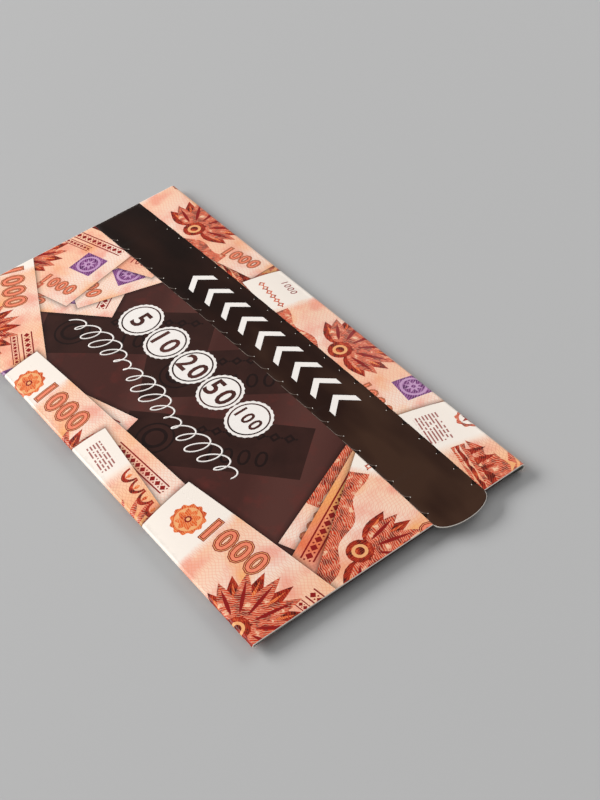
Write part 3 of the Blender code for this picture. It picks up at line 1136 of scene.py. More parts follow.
# %% Perforation measures and the line itself
straight_run = 3.85
curl_run = 2.00
curl_depth = 1.25
curl_steps = 5
bridge_run = 0.93
cut_start_share = 0.98
full_gap_share = 0.80
last_tip_inset = 3.4
knife_gap = 0.10
bridge_gap = 0.05
cut_pitch = straight_run + curl_run + bridge_run
overrun = 6.0


def cut_tips():
    """Places along the strip where the cuts end."""
    last = half_length - last_tip_inset
    count = int((last + half_length - curl_run) / cut_pitch)
    return [last - index * cut_pitch for index in reversed(range(count))]


def tear_line(base, inward, side):
    """The border beside one row of cuts. side moves it to the strip (1) or away from it (-1)."""
    line = [(-half_length - overrun, base, bridge_gap)]
    for tip in cut_tips():
        bend = tip - curl_run
        line.append((bend - straight_run * cut_start_share, base, bridge_gap))
        line.append((bend - straight_run * full_gap_share, base, knife_gap))
        for k in range(curl_steps + 1):
            share = k / curl_steps
            gap = knife_gap if k < curl_steps else bridge_gap
            line.append((bend + share * curl_run, base + inward * curl_depth * share**2, gap))
        line.append((tip + bridge_run, base, bridge_gap))
    line.append((half_length + overrun, base, bridge_gap))
    spots = np.array(line)
    ahead = np.gradient(spots[:, :2], axis=0)
    ahead /= np.linalg.norm(ahead, axis=1)[:, None]
    normal = np.stack([-ahead[:, 1], ahead[:, 0]], -1) * inward
    return spots[:, :2] + normal * (spots[:, 2:] / 2 * side)


print("cuts in a row", len(cut_tips()), "pitch", round(cut_pitch, 2), "mm")

# %% [markdown]
# ## From outlines to card
#
# All outlines of one area are handed to a constrained triangulation, which cuts the flat print into
# triangles that follow every outline. The topmost shape over a triangle gives its ink. Then the flat
# triangles are lifted onto the folded form, and a second layer below and a wall round the border
# make it a closed sheet of card. Drawing the picture in a material alone would be lighter, but edges
# made of real mesh stay crisp at any distance.

# %% Which places lie inside a shape
block_size = 2000000


def inside_of(outlines, spots):
    """Which places lie inside a shape. Each side of an outline to the right flips the answer."""
    inside = np.zeros(len(spots), bool)
    for outline in outlines:
        low, high = outline.min(0), outline.max(0)
        near = np.flatnonzero(np.all((spots >= low) & (spots <= high), axis=1))
        x0, y0 = outline.T
        x1, y1 = np.roll(outline, -1, axis=0).T
        slope = (x1 - x0) / np.where(y1 == y0, 1.0, y1 - y0)
        for some in np.array_split(near, len(near) * len(outline) // block_size + 1):
            x, y = spots[some, 0][:, None], spots[some, 1][:, None]
            crossed = ((y0 > y) != (y1 > y)) & (x < x0 + (y - y0) * slope)
            inside[some] ^= np.logical_xor.reduce(crossed, axis=1)
    return inside


rim_and_hole = [box_outline(0, 0, 3, 3), box_outline(1, 1, 2, 2)]
print("inside a holed square:", inside_of(rim_and_hole, np.array([(0.5, 0.5), (1.5, 1.5)])))

# %% Triangles that follow every outline
weld = 0.003
bend_cell = 3.0


def without_spares(verts, triangles):
    """Only the points that the kept triangles use, and the triangles renumbered to them."""
    used, numbers = np.unique(np.array(triangles).ravel(), return_inverse=True)
    flat = np.array([tuple(verts[k]) for k in used])
    return used, flat, numbers.reshape(-1, 3)


def triangulated(border, lines, spots, close):
    """Points and triangles inside a border that follow all lines, and each point's sources."""
    points = [Vector(spot) for spot in border]
    edges = [(k, (k + 1) % len(border)) for k in range(len(border))]
    for line in lines:
        start = len(points)
        points += [Vector(spot) for spot in line]
        edges += [(start + k, start + k + 1) for k in range(len(line) - 1)]
    points += [Vector(spot) for spot in spots]
    verts, _, triangles, origins, _, _ = delaunay_2d_cdt(points, edges, [], 0, close, True)
    triangles = np.array(triangles)
    middles = np.array([tuple(vert) for vert in verts])[triangles].mean(1)
    used, flat, triangles = without_spares(verts, triangles[inside_of([border], middles)])
    return flat, triangles, [origins[old] for old in used]


def stepped(line, reach):
    """A line with points added, so that it can follow the bowed face."""
    line = np.asarray(line, float)
    counts = (np.linalg.norm(np.diff(line, axis=0), axis=1) // reach).astype(int) + 1
    if counts.max() == 1:
        return line
    runs = [np.linspace(a, b, count, endpoint=False) for a, b, count in zip(line, line[1:], counts)]
    return np.concatenate(runs + [line[-1:]])


def cut_up(border, shapes, lines, spots, cell):
    """Points and triangles inside a border, and for each triangle the topmost shape over it."""
    closed = [np.concatenate([outline, outline[:1]]) for shape in shapes for outline in shape[1]]
    every_line = [stepped(line, cell) for line in closed + list(lines)]
    flat, triangles, _ = triangulated(border, every_line, spots, weld)
    middles = flat[triangles].mean(1)
    tops = np.full(len(triangles), -1)
    for index, shape in enumerate(shapes):
        tops[inside_of(shape[1], middles)] = index
    return flat, triangles, tops


cut_square = cut_up(rim_and_hole[0], [("cream", rim_and_hole[1:], no_note)], [], [], bend_cell)
print("a square with a square on it gives", len(cut_square[1]), "triangles")

# %% Border, board side and bending points
board_line_inset = 1.6


def rim_of(triangles):
    """The border's edges, each in the direction that its triangle runs."""
    sides = {}
    for a, b, c in triangles.tolist():
        for side in ((a, b), (b, c), (c, a)):
            sides[side] = True
    return [side for side in sides if side[::-1] not in sides]


def in_order(rim):
    """The border's points in the order that they follow each other."""
    follows = dict(rim)
    loop = [rim[0][0]]
    while follows[loop[-1]] != loop[0]:
        loop.append(follows[loop[-1]])
    return loop


def board_side(flat, loop, lines, spots):
    """Larger triangles for the unprinted side, on the same border.

    It also gives the number of the point that lies under each border point."""
    board_flat, board_triangles, sources = triangulated(flat[loop], lines, spots, weld / 10)
    under = {}
    for index, source in enumerate(sources):
        for origin in source:
            if origin < len(loop):
                under[loop[origin]] = index
    return board_flat, board_triangles, under


def mesh_spots(low, high, cell):
    """A grid of places inside a rectangle, so that the sheet can bend."""
    columns, rows = (max(2, round(length / cell)) for length in high - low)
    x = np.linspace(low[0], high[0], columns + 1)[1:-1]
    y = np.linspace(low[1], high[1], rows + 1)[1:-1]
    return [(a, b) for a in x for b in y]


def shortened(line):
    """A line drawn in a little at both ends, so that it stays off the border."""
    start, end = np.array(line[0]), np.array(line[-1])
    ahead = (end - start) / np.linalg.norm(end - start)
    return [tuple(start + ahead * board_line_inset), tuple(end - ahead * board_line_inset)]


print("bending points lie", bend_cell, "mm apart")

# %% Soft shadow that each printed note throws on what lies under it
shadow_rings = (0.0, 0.7, 1.8)
shadow_shares = (1.0, 0.42, 0.0)


def shadow_lines(notes):
    """Closed lines round each note, where its shadow changes depth."""
    lines = []
    for note in notes:
        for reach in shadow_rings[1:]:
            half = note_half + reach
            ring = laid(box_outline(*-half, *half), note)
            lines.append(np.concatenate([ring, ring[:1]]).tolist())
    return lines


def note_shade(spots, layers, notes, first_index):
    """How deep in shadow each place is, for a print layer of the given note number."""
    shade = np.zeros(len(spots))
    for index, note in enumerate(notes, first_index):
        outside = np.maximum(np.abs(seen_from(spots, note)) - note_half, 0)
        share = np.interp(np.linalg.norm(outside, axis=1), shadow_rings, shadow_shares)
        shade = np.maximum(shade, np.where(layers < index, share, 0.0))
    return shade


print("a note's shadow is", shadow_rings[-1], "mm wide")

# %% Mesh, normals and maps of a piece
nudge = 0.01


def own_mesh(name, verts, faces, inks, ink_of, maps, shade):
    """A piece with its inks, its maps in millimetres and its printed shadow."""
    mesh = bpy.data.meshes.new(name)
    mesh.from_pydata((verts * MM).tolist(), [], faces)
    for ink in inks:
        mesh.materials.append(finishes[ink])
    mesh.polygons.foreach_set("material_index", ink_of)
    mesh.polygons.foreach_set("use_smooth", [True] * len(faces))
    for map_name, values in maps.items():
        layer = mesh.uv_layers.new(name=map_name)
        layer.data.foreach_set("uv", np.asarray(values, float).ravel())
    attribute = mesh.attributes.new("shade", "FLOAT", "CORNER")
    attribute.data.foreach_set("value", np.asarray(shade, float))
    mesh.update()
    return in_scene(name, mesh)


def surface_normals(flat, lift):
    """Which way the folded sheet faces at each place."""
    across = lift(flat + [nudge, 0.0]) - lift(flat - [nudge, 0.0])
    up = lift(flat + [0.0, nudge]) - lift(flat - [0.0, nudge])
    normal = np.cross(across, up)
    return normal / np.linalg.norm(normal, axis=1)[:, None]


def print_maps(corners, corner_layers, notes, first_index):
    """Places on each note's own paper, in millimetres from its corner."""
    local = corners + [half_length, half_width]
    for index, note in enumerate(notes, first_index):
        mine = corner_layers == index
        local[mine] = seen_from(corners[mine], note) + note_half
    return local


def sharp_rim(mesh, crisp):
    """Keep the edges between the print, the wall and the board crisp."""
    wanted = {tuple(sorted(edge)) for edge in crisp}
    ends = np.zeros(len(mesh.edges) * 2, int)
    mesh.edges.foreach_get("vertices", ends)
    flags = [tuple(sorted(pair)) in wanted for pair in ends.reshape(-1, 2).tolist()]
    attribute = mesh.attributes.new("sharp_edge", "BOOLEAN", "EDGE")
    attribute.data.foreach_set("value", flags)


print("each piece has its inks, two maps and its printed shadow")

# %% Where the card is crushed
strip_sections = 5
section = 2 * half_length / strip_sections
strip_joins = section * (np.arange(strip_sections) - (strip_sections - 1) / 2)
pressed_share = 0.55
row_margin = 0.3
hair = 0.01


def in_perforation(spots):
    """Which border places lie in the cuts of the two rows, away from the ends of the strip's lengths."""
    from_row = np.minimum(np.abs(spots[:, 1] - strip_low), np.abs(spots[:, 1] - strip_high))
    from_join = np.abs(spots[:, :1] - strip_joins).min(1)
    within = np.abs(spots[:, 0]) < half_length - hair
    return (from_row < curl_depth + row_margin) & within & (from_join > 2 * hair)


print("beside the cuts the card is", round(card * pressed_share, 2), "mm thick")

# %% A closed sheet of card
bare_inks = ["board", "cut_edge", "pressed_edge"]


def card_piece(name, border, shapes, ground, lift, bends, notes=(), first_index=0, cell=bend_cell):
    """A closed sheet of card: the print outside, board inside, and the cut edge round it."""
    spots = mesh_spots(border.min(0), border.max(0), cell)
    flat, triangles, tops = cut_up(border, shapes, list(bends) + shadow_lines(notes), spots, cell)
    rim = rim_of(triangles)
    inner_lines = [shortened(line) for line in bends if len(line) == 2]
    board_flat, board_triangles, under = board_side(flat, in_order(rim), inner_lines, spots)
    count = len(flat)
    low_rim = [(under[a] + count, under[b] + count) for a, b in rim]

    board_normals = surface_normals(board_flat, lift)
    on_border = np.isin(np.arange(len(board_flat)), list(under.values()))
    crushed = on_border & in_perforation(board_flat)
    depth = np.where(crushed, card * pressed_share, card)[:, None]
    verts = np.concatenate([lift(flat), lift(board_flat) - board_normals * depth])
    faces = triangles.tolist()
    inside = (board_triangles[:, ::-1] + count).tolist()
    walls = [(b, a, low_a, low_b) for (a, b), (low_a, low_b) in zip(rim, low_rim)]

    inks = [ground] + sorted({shape[0] for shape in shapes} - {ground, *bare_inks}) + bare_inks
    ink_of_shape = [inks.index(shape[0]) for shape in shapes] + [0]
    grey = in_perforation(flat[np.array(rim)].mean(1))
    ink_of = [ink_of_shape[k] for k in tops] + [inks.index("board")] * len(inside)
    ink_of += [inks.index("pressed_edge" if pressed else "cut_edge") for pressed in grey]

    corners = flat[triangles.ravel()]
    layer_of_shape = np.array([shape[2] for shape in shapes] + [no_note])
    corner_layers = np.repeat(layer_of_shape[tops], 3)
    local = print_maps(corners, corner_layers, notes, first_index)
    shade = note_shade(corners, corner_layers, notes, first_index)
    everywhere = np.concatenate([flat, board_flat])
    rest = everywhere[[k for face in inside + walls for k in face]]
    maps = {"sheet": np.concatenate([corners, rest]), "print": np.concatenate([local, rest])}
    shade = np.concatenate([shade, np.zeros(len(rest))])

    piece = own_mesh(name, verts, faces + inside + walls, inks, ink_of, maps, shade)
    sharp_rim(piece.data, rim + low_rim)
    upper = surface_normals(flat, lift)[triangles.ravel()]
    lower = -board_normals[board_triangles[:, ::-1].ravel()]
    automatic = np.zeros((len(walls) * 4, 3))
    piece.data.normals_split_custom_set(np.concatenate([upper, lower, automatic]).tolist())
    return piece


print("inks that are bare card:", ", ".join(bare_inks))

# %% [markdown]
# ## The front face
#
# The large area below the strip, with the bottom fold that it runs into. Its upper border is the
# lower tear line, whose teeth carry the strip's dark ink, because the print ignores the cuts. Along
# the short edges the knife has rounded the card over and scuffed the ink off it, which shows as a
# hair-thin pale line. It is drawn as a narrow band of bare board, with the card dropping under it.

# %% The knife's pale edge
edge_band = 0.13
tab_edge_band = 0.08
edge_reach = 0.26
edge_drop = 0.07
drop_shares = (0.25, 0.75, 1.0)
beyond = 1.0


def knife_rounded(place_of, distance_of):
    """A lift whose surface drops close to a cut edge. distance_of gives the distance to the edge."""

    def lift(flat):
        nearness = np.clip(1 - distance_of(flat) / edge_reach, 0, 1)
        return place_of(flat) - surface_normals(flat, place_of) * (edge_drop * nearness**2)[:, None]

    return lift


def from_short_edge(flat):
    """Distance to the nearer short edge."""
    return half_length - np.abs(flat[:, 0])


def short_edge_bands(low, high):
    """Bands of bare board along both short edges."""
    inner, outer = half_length - edge_band, half_length + beyond
    bands = [box_outline(inner, low, outer, high), box_outline(-outer, low, -inner, high)]
    return [("cut_edge", [band], no_note) for band in bands]


def short_edge_lines(low, high):
    """Lines that let the card drop smoothly beside both short edges."""
    places = [half_length - edge_reach * share for share in drop_shares]
    return [[(side * x, low), (side * x, high)] for side in (-1, 1) for x in places]


print("pale edge", edge_band, "mm")

# %% Front face and bottom fold
fold_lines = 14
band_reach = 90


def across_lines(centre_y, wrap_y):
    """Lines across the print where the fold turns."""
    reach = half_length + beyond
    places = np.linspace(centre_y, wrap_y, fold_lines + 1)[:-1]
    return [[(-reach, y), (reach, y)] for y in places]


def clipped(line):
    """A tear line that starts and ends at the short edges."""
    kept = line[(line[:, 0] > -half_length) & (line[:, 0] < half_length)]
    first = (-half_length, line[0, 1])
    last = (half_length, line[-1, 1])
    return np.concatenate([[first], kept, [last]])


front_lift = knife_rounded(front_place, from_short_edge)
strip_band = [("strip_brown", [box_outline(-band_reach, strip_low, band_reach, strip_high)], no_note)]
low_tear = clipped(tear_line(strip_low, 1, -1))
lower_border = np.concatenate([[(-half_length, bottom_wrap), (half_length, bottom_wrap)], low_tear[::-1]])
lower_picture = ghosts + coins + laid_out(lower_notes, 0)
lower_shapes = lower_picture + strip_band + short_edge_bands(bottom_wrap - beyond, strip_high)
lower_bends = across_lines(bottom_y, bottom_wrap) + short_edge_lines(bottom_wrap - beyond, strip_low)
front_face = card_piece(
    "front_face", lower_border, lower_shapes, "field", front_lift, lower_bends, lower_notes
)
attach(front_face, "envelope")
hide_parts("front_panel", "bottom_fold")
print("front face:", len(front_face.data.polygons), "faces")

# %% [markdown]
# ## The header
#
# The narrow band above the strip, with the top fold. On the real envelope it is one sheet with the
# front face, and it could be one mesh with it, as far as looks go. But the strip tears out between
# the two, so each is a sheet with a torn border of its own, made by the same function.

# %% Header and top fold
high_tear = clipped(tear_line(strip_high, -1, -1))
upper_border = np.concatenate([high_tear, [(half_length, top_wrap), (-half_length, top_wrap)]])
upper_picture = laid_out(upper_notes, first_upper)
upper_shapes = upper_picture + strip_band + short_edge_bands(strip_low, top_wrap + beyond)
upper_bends = across_lines(top_y, top_wrap) + short_edge_lines(strip_high, top_wrap + beyond)
header = card_piece(
    "header_face", upper_border, upper_shapes, "field", front_lift, upper_bends, upper_notes, first_upper
)
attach(header, "envelope")
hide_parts("header_band", "top_fold")
print("header:", len(header.data.polygons), "faces")

# %% [markdown]
# ## The tear strip
#
# The strip peels off from the tab end and curls as it goes. The plain model has a hinge at the far
# short edge, four along the strip and one at the tab. Here each of those four lies in the middle of
# a visible length. Only the far length is joined to its body; the other lengths stay as plain meshes
# where they lie.
# A row of arrows shows which way to pull.

# %% Arrows and the strip's own lift
arrow_count = 9
arrow_pitch = 8.6
first_arrow = -37.5
arrow_places = np.arange(arrow_count) * arrow_pitch + first_arrow
arrow_reach = 4.4
arrow_depth = 4.2
arrow_stroke = 2.5
curl_lift = 0.12
curl_reach = 1.5


def arrow(x):
    """A chevron that points to the far end of the strip."""
    tip = (x, strip_middle)
    back = x + arrow_depth
    return np.array([
        tip,
        (back, strip_middle - arrow_reach),
        (back + arrow_stroke, strip_middle - arrow_reach),
        (x + arrow_stroke, strip_middle),
        (back + arrow_stroke, strip_middle + arrow_reach),
        (back, strip_middle + arrow_reach),
    ])


def strip_place(flat):
    """The strip lies a hair proud of the face along its cut borders."""
    place = front_place(flat)
    for border, share in ((strip_low, 1.0), (strip_high, 0.5)):
        near = np.maximum(0, 1 - np.abs(flat[:, 1] - border) / curl_reach)
        ends = np.clip((half_length - np.abs(flat[:, 0])) / curl_reach, 0, 1)
        place[:, 2] += curl_lift * share * near**2 * ends
    return place


arrows = [("cream", [arrow(x)], no_note) for x in arrow_places]
print("arrows", len(arrows))

# %% The tab's rounded end and its pale edge
tab_reach = tab_high[0] - half_length
tab_half = (strip_high - strip_low - knife_gap) / 2
tab_root = 0.6
tab_arc_steps = 32


def tab_arc(inset):
    """The tab's rounded end, drawn in by a distance."""
    angles = np.linspace(-math.pi / 2, math.pi / 2, tab_arc_steps + 1)[1:-1]
    x = half_length + (tab_reach - inset) * np.cos(angles)
    y = strip_middle + (tab_half - inset) * np.sin(angles)
    return np.stack([x, y], -1)


def from_strip_end(flat):
    """Distance to the far end or to the tab's rounded edge, whichever is nearer."""
    past_edge = np.maximum(0, flat[:, 0] - half_length)
    round_share = np.hypot(past_edge / tab_reach, (flat[:, 1] - strip_middle) / tab_half)
    from_arc = (1 - round_share) * tab_reach + np.maximum(0, tab_root - past_edge) / 2
    return np.minimum(flat[:, 0] + half_length, np.where(flat[:, 0] > half_length, from_arc, edge_reach))


def tab_ink():
    """Bare board at the tab's rim, and the strip's brown over all but that rim."""
    low, high = strip_low - beyond, strip_high + beyond
    whole = box_outline(half_length, low, half_length + tab_reach + beyond, high)
    root = [(half_length - beyond, high), (half_length - beyond, low)]
    inked = np.concatenate([tab_arc(tab_edge_band), root])
    return [("cut_edge", [whole], no_note), ("strip_brown", [inked], no_note)]


print("tab reach", round(tab_reach, 2), "mm")

# %% Scuffed hooks and the whole picture of the strip
hook_width = 0.075
hook_overlap = 0.1
tip_margin = 0.05


def hook_marks():
    """Thin pale hooks where the knife has scuffed the strip beside each curl of the lower row."""
    line = tear_line(strip_low, 1, 0)
    shapes = []
    for tip in cut_tips():
        hook = line[(line[:, 0] > tip - curl_run - tip_margin) & (line[:, 0] < tip + tip_margin)]
        ahead = np.gradient(hook, axis=0)
        normal = np.stack([-ahead[:, 1], ahead[:, 0]], -1) / np.linalg.norm(ahead, axis=1)[:, None]
        outer, inner = hook - normal * hook_overlap, hook + normal * (knife_gap / 2 + hook_width)
        shapes.append(("pressed_edge", [np.concatenate([outer, inner[::-1]])], no_note))
    return shapes


far_edge = short_edge_bands(strip_low - beyond, strip_high + beyond)[1:]
strip_shapes = arrows + tab_ink() + far_edge + hook_marks()
tab_lines = [tab_arc(edge_reach * share).tolist() for share in drop_shares]
strip_lift = knife_rounded(strip_place, from_strip_end)
print("shapes on the strip", len(strip_shapes))

# %% Strip lengths from the far end to the tab
bend_reach = 12.0
tab_bend_reach = 1.5
strip_cell = 1.5
strip_kerf_low = tear_line(strip_low, 1, 1)
strip_kerf_high = tear_line(strip_high, -1, 1)


def part_of(line, start, end):
    """The stretch of a tear line between two places along the strip."""
    inside = line[(line[:, 0] > start + hair) & (line[:, 0] < end - hair)]
    first = (start, np.interp(start, line[:, 0], line[:, 1]))
    last = (end, np.interp(end, line[:, 0], line[:, 1]))
    return np.concatenate([[first], inside, [last]])


def strip_outline(start, end, with_tab):
    """The border of one length of the strip."""
    low = part_of(strip_kerf_low, start, end)
    high = part_of(strip_kerf_high, start, end)
    rounded = tab_arc(0.0) if with_tab else np.zeros((0, 2))
    return np.concatenate([low, rounded, high[::-1]])


cuts = [-half_length, *strip_joins, half_length + tab_reach]
riders = [("strip_5",), ("strip_5", "strip_4"), ("strip_4", "strip_3"), ("strip_3", "strip_2")]
riders += [("strip_2", "strip_1"), ("strip_1", "tab")]
stands_for = ["tear_strip_5", "tear_strip_4", "tear_strip_3", "tear_strip_2", "tear_strip_1", "pull_tab"]
for index, (start, end) in enumerate(zip(cuts, cuts[1:])):
    with_tab = index == len(riders) - 1
    border = strip_outline(start, min(end, half_length), with_tab)
    name = "strip_tab" if with_tab else "strip_length_" + str(len(riders) - index)
    lines = tab_lines if with_tab else ()
    length = card_piece(name, border, strip_shapes, "strip_brown", strip_lift, lines, cell=strip_cell)
    bodies = riders[index]
    if len(bodies) == 1:
        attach(length, bodies[0])
    else:
        hinge = -half_length + index * section
        reach = tab_bend_reach if with_tab else bend_reach
        near = (hinge - reach) * MM
        far = (hinge + reach) * MM
        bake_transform(length)
    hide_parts(stands_for[index])
    print(name, len(length.data.polygons), "faces")

# %% [markdown]
# ## The back
#
# The same sheet runs on round the bottom fold and becomes the back, so the notes printed along the
# bottom of the front end on the back. The back lies flat on the table in its middle. Its rim is
# raised, because the closing flap and the side flaps lie in the same stack. At each short edge it
# turns up in a tight fold to the side flap, which is glued under the front. Working in the flat
# print's own coordinates keeps the picture unbroken round every fold.

# %% Back panel and side folds
side_low, side_high = span("side_fold_right")
back_low, back_high = span("back_panel")
flap_low, flap_high = span("closing_flap")
side_radius = (side_high[2] - side_low[2]) / 2
side_fold_x = side_high[0] - side_radius
side_fold_z = side_low[2] + side_radius
side_wrap = side_fold_x + math.pi * side_radius
back_flat_rim = 4.5
back_ramp_along = 25.0
back_ramp_across = 14.0
flap_ramp = 10.0
flap_ramp_margin = 1.5
side_fold_lines = 8
side_chamfer = 0.6


def eased(distance, reach):
    """A smooth rise from 0 at the edge to 1 at the given reach."""
    share = np.clip(distance / reach, 0, 1)
    return share * share * (3 - 2 * share)


def on_back(y):
    """Where a place across the back lies on the flat print, and the other way round."""
    return bottom_y + bottom_wrap - y


def back_height(x, y):
    """Height of the back's printed face: on the table in the middle, raised at the rim."""
    along = eased(back_high[0] - back_flat_rim - np.abs(x), back_ramp_along)
    below = eased(y - back_low[1] - back_flat_rim, back_ramp_across)
    above = eased(flap_low[1] - flap_ramp_margin - y, flap_ramp)
    return bottom_low[2] * (1 - along * below * above)


def back_place(flat):
    """Where places on the flat print lie on the back and its side folds."""
    x, y = flat[:, 0], on_back(flat[:, 1])
    place = np.stack([x, y, back_height(x, y)], -1)
    past_fold = np.abs(x) - side_fold_x
    wound = past_fold > 0
    turn = past_fold[wound] / side_radius
    place[wound, 0] = np.sign(x[wound]) * (side_fold_x + side_radius * np.sin(turn))
    place[wound, 2] = side_fold_z - side_radius * np.cos(turn)
    return place


def back_outline():
    """The back with its two side folds, on the flat print."""
    fold_start, fold_end = on_back(side_low[1]), on_back(side_high[1])
    right = [
        (back_high[0], bottom_wrap),
        (back_high[0], fold_start),
        (side_wrap, fold_start - side_chamfer),
        (side_wrap, fold_end + side_chamfer),
        (back_high[0], fold_end),
        (back_high[0], on_back(back_high[1])),
    ]
    left = [(-x, v) for x, v in right[::-1]]
    return np.array(right + left)


turn_places = np.linspace(side_fold_x, side_wrap, side_fold_lines + 1)[:-1]
turn_span = (on_back(side_high[1]) - beyond, on_back(side_low[1]) + beyond)
back_bends = [[(side * x, v) for v in turn_span] for side in (-1, 1) for x in turn_places]
back_slabs = slab(-28.0, -92.0, 32.0) + slab(18.0, -78.0, 26.0) + slab(50.0, -104.0, 38.0)
back_shapes = back_slabs + laid_out(lower_notes, 0)
back_face = card_piece("back_face", back_outline(), back_shapes, "field", back_place, back_bends, lower_notes)
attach(back_face, "envelope")
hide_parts("back_panel", "side_fold_left", "side_fold_right")
print("back:", len(back_face.data.polygons), "faces")

# %% [markdown]
# ## The closing flap
#
# Past the top fold the sheet runs on as the closing flap. Its corners are rounded and its ends are
# tapered, so that it slides under easily. It turns on a crease, a line of crushed card a tenth of a
# millimetre wide. A hinge gap there would look torn when the flap opens, so the flap's first tenth
# is crossed by rows of points along the crease. The flap itself stays a plain mesh, closed.

# %% Closing flap
flap_corner = 5.0
flap_taper = 4.0
corner_steps = 8
crease_rows = 4


def unit(vector):
    """The same direction, one long."""
    return vector / np.linalg.norm(vector)


def rounded_corner(corner, before, after, radius):
    """Points of an arc that rounds a corner between two neighbours."""
    corner, before, after = (np.array(spot, float) for spot in (corner, before, after))
    to_before, to_after = unit(before - corner), unit(after - corner)
    half_angle = math.acos(float(to_before @ to_after)) / 2
    centre = corner + unit(to_before + to_after) * radius / math.sin(half_angle)
    start = corner + to_before * radius / math.tan(half_angle) - centre
    end = corner + to_after * radius / math.tan(half_angle) - centre
    first = math.atan2(start[1], start[0])
    sweep = (math.atan2(end[1], end[0]) - first + math.pi) % (2 * math.pi) - math.pi
    angles = first + sweep * np.linspace(0, 1, corner_steps + 1)
    return centre + radius * np.stack([np.cos(angles), np.sin(angles)], -1)


def on_flap(y):
    """Where a place across the closed flap lies on the flat print, and the other way round."""
    return top_y + top_wrap - y


def flap_place(flat):
    """Where places on the flat print lie on the closed flap, whose printed face is underneath."""
    return np.stack([flat[:, 0], on_flap(flat[:, 1]), np.full(len(flat), flap_low[2])], -1)


flap_tip = on_flap(flap_low[1])
crease_end = on_flap(flap_high[1])
roots = [(flap_low[0], crease_end), (flap_high[0], crease_end)]
tips = [(flap_low[0] + flap_taper, flap_tip), (flap_high[0] - flap_taper, flap_tip)]
flap_border = np.concatenate([
    [(flap_low[0], top_wrap), (flap_high[0], top_wrap), roots[1]],
    rounded_corner(tips[1], roots[1], tips[0], flap_corner),
    rounded_corner(tips[0], tips[1], roots[0], flap_corner),
    [roots[0]],
])
crease_lines = [
    [(flap_low[0] - beyond, v), (flap_high[0] + beyond, v)]
    for v in np.linspace(top_wrap, crease_end, crease_rows + 1)[1:]
]
flap_slabs = slab(-22.0, 62.0, -24.0) + slab(44.0, 60.0, -30.0)
flap_shapes = flap_slabs + upper_picture
flap_face = card_piece(
    "flap_face", flap_border, flap_shapes, "field", flap_place, crease_lines, upper_notes, first_upper
)
crease_start_place = (0.0, top_y * MM, 0.0)
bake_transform(flap_face)
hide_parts("closing_flap")
print("closing flap:", len(flap_face.data.polygons), "faces")

# %% [markdown]
# ## Inside pieces
#
# The side flaps, the glue, the sealing tape and its liner have their true shape in the plain model, so
# they keep it and only get their finishes.

# %% Finishes of the inside pieces
inside_pieces = {
    "board": ("side_flap_left", "side_flap_right"),
    "glue": ("glue_front_left", "glue_front_right", "glue_header_left", "glue_header_right", "seal_tape"),
    "liner": ("release_liner",),
}
for finish, names in inside_pieces.items():
    for name in names:
        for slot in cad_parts[name].material_slots:
            slot.material = finishes[finish]
    print(finish, "on", ", ".join(names))

# %% [markdown]
# ## Small things that repeat
#
# Geometry Nodes suit what repeats along a line. Each tree below has named inputs for its sizes, ends
# in real mesh with its finish set, and is turned into a plain mesh at once. Both trees need the bow of
# the front, so the same formula is written once more as nodes.

# %% Node tree helpers
def new_tree(name, inputs):
    """A Geometry Nodes tree with named inputs, each a socket kind and a value."""
    tree = bpy.data.node_groups.new(name, "GeometryNodeTree")
    tree.interface.new_socket("Geometry", in_out="OUTPUT", socket_type="NodeSocketGeometry")
    values = {}
    for label, (kind, value) in inputs.items():
        socket = tree.interface.new_socket(label, in_out="INPUT", socket_type="NodeSocket" + kind)
        values[socket.identifier] = value
    outputs = tree.nodes.new("NodeGroupInput").outputs
    return tree, {label: Flow(outputs[label]) for label in inputs}, values


def finish_tree(tree, geometry, material):
    """Realize Instances, turn millimetres to metres, and set the finish."""
    real = step(tree, "GeometryNodeRealizeInstances", Geometry=geometry)
    sized = step(tree, "GeometryNodeTransform", Geometry=real, Scale=(MM, MM, MM))
    dressed = step(tree, "GeometryNodeSetMaterial", Geometry=sized, Material=material)
    feed(tree.nodes.new("NodeGroupOutput").inputs["Geometry"], dressed)


def bow_height(x, y):
    """The height of the front face at a place, as nodes."""
    middle, half = (front_low + front_high) / 2, (front_high - front_low) / 2
    along = 1.0 - (x.size() / half_length).clamped() ** bow_power_along
    across = 1.0 - ((y - middle).size() / half).clamped() ** bow_power_across
    return along * across * bow + rim_height


def grown(name, tree, values):
    """The tree's result as a plain mesh in an object of its own."""
    carrier = in_scene(name + "_carrier", bpy.data.meshes.new(name + "_carrier"))
    modifier = carrier.modifiers.new("growth", "NODES")
    modifier.node_group = tree
    for identifier, value in values.items():
        modifier[identifier] = value
    graph = bpy.context.evaluated_depsgraph_get()
    mesh = bpy.data.meshes.new_from_object(carrier.evaluated_get(graph))
    bpy.data.objects.remove(carrier)
    mesh.name = name
    print(name, len(mesh.polygons), "faces")
    return in_scene(name, mesh)


print("both trees bow with the powers", bow_power_along, "and", bow_power_across)

# %% [markdown]
# ### Nicks at the cuts
#
# Each cut ends at a bridge of card, and the knife leaves a tiny pale burr there. They are the bright
# specks along both rows. One small blob is placed at every tip, each turned and sized a little
# differently.

# %% Burrs at the tips of the cuts
nick_turns = ((-0.15, -0.15, -0.6), (0.15, 0.15, 0.6))
nick_sizes = ((0.6, 0.7, 0.7), (1.2, 1.3, 1.3))


def scattered(tree, seed, low, high):
    """Three random numbers for each point, between two bounds."""
    settings = {"data_type": "FLOAT_VECTOR"}
    return step(tree, "FunctionNodeRandomValue", settings, Min=low, Max=high, Seed=seed)


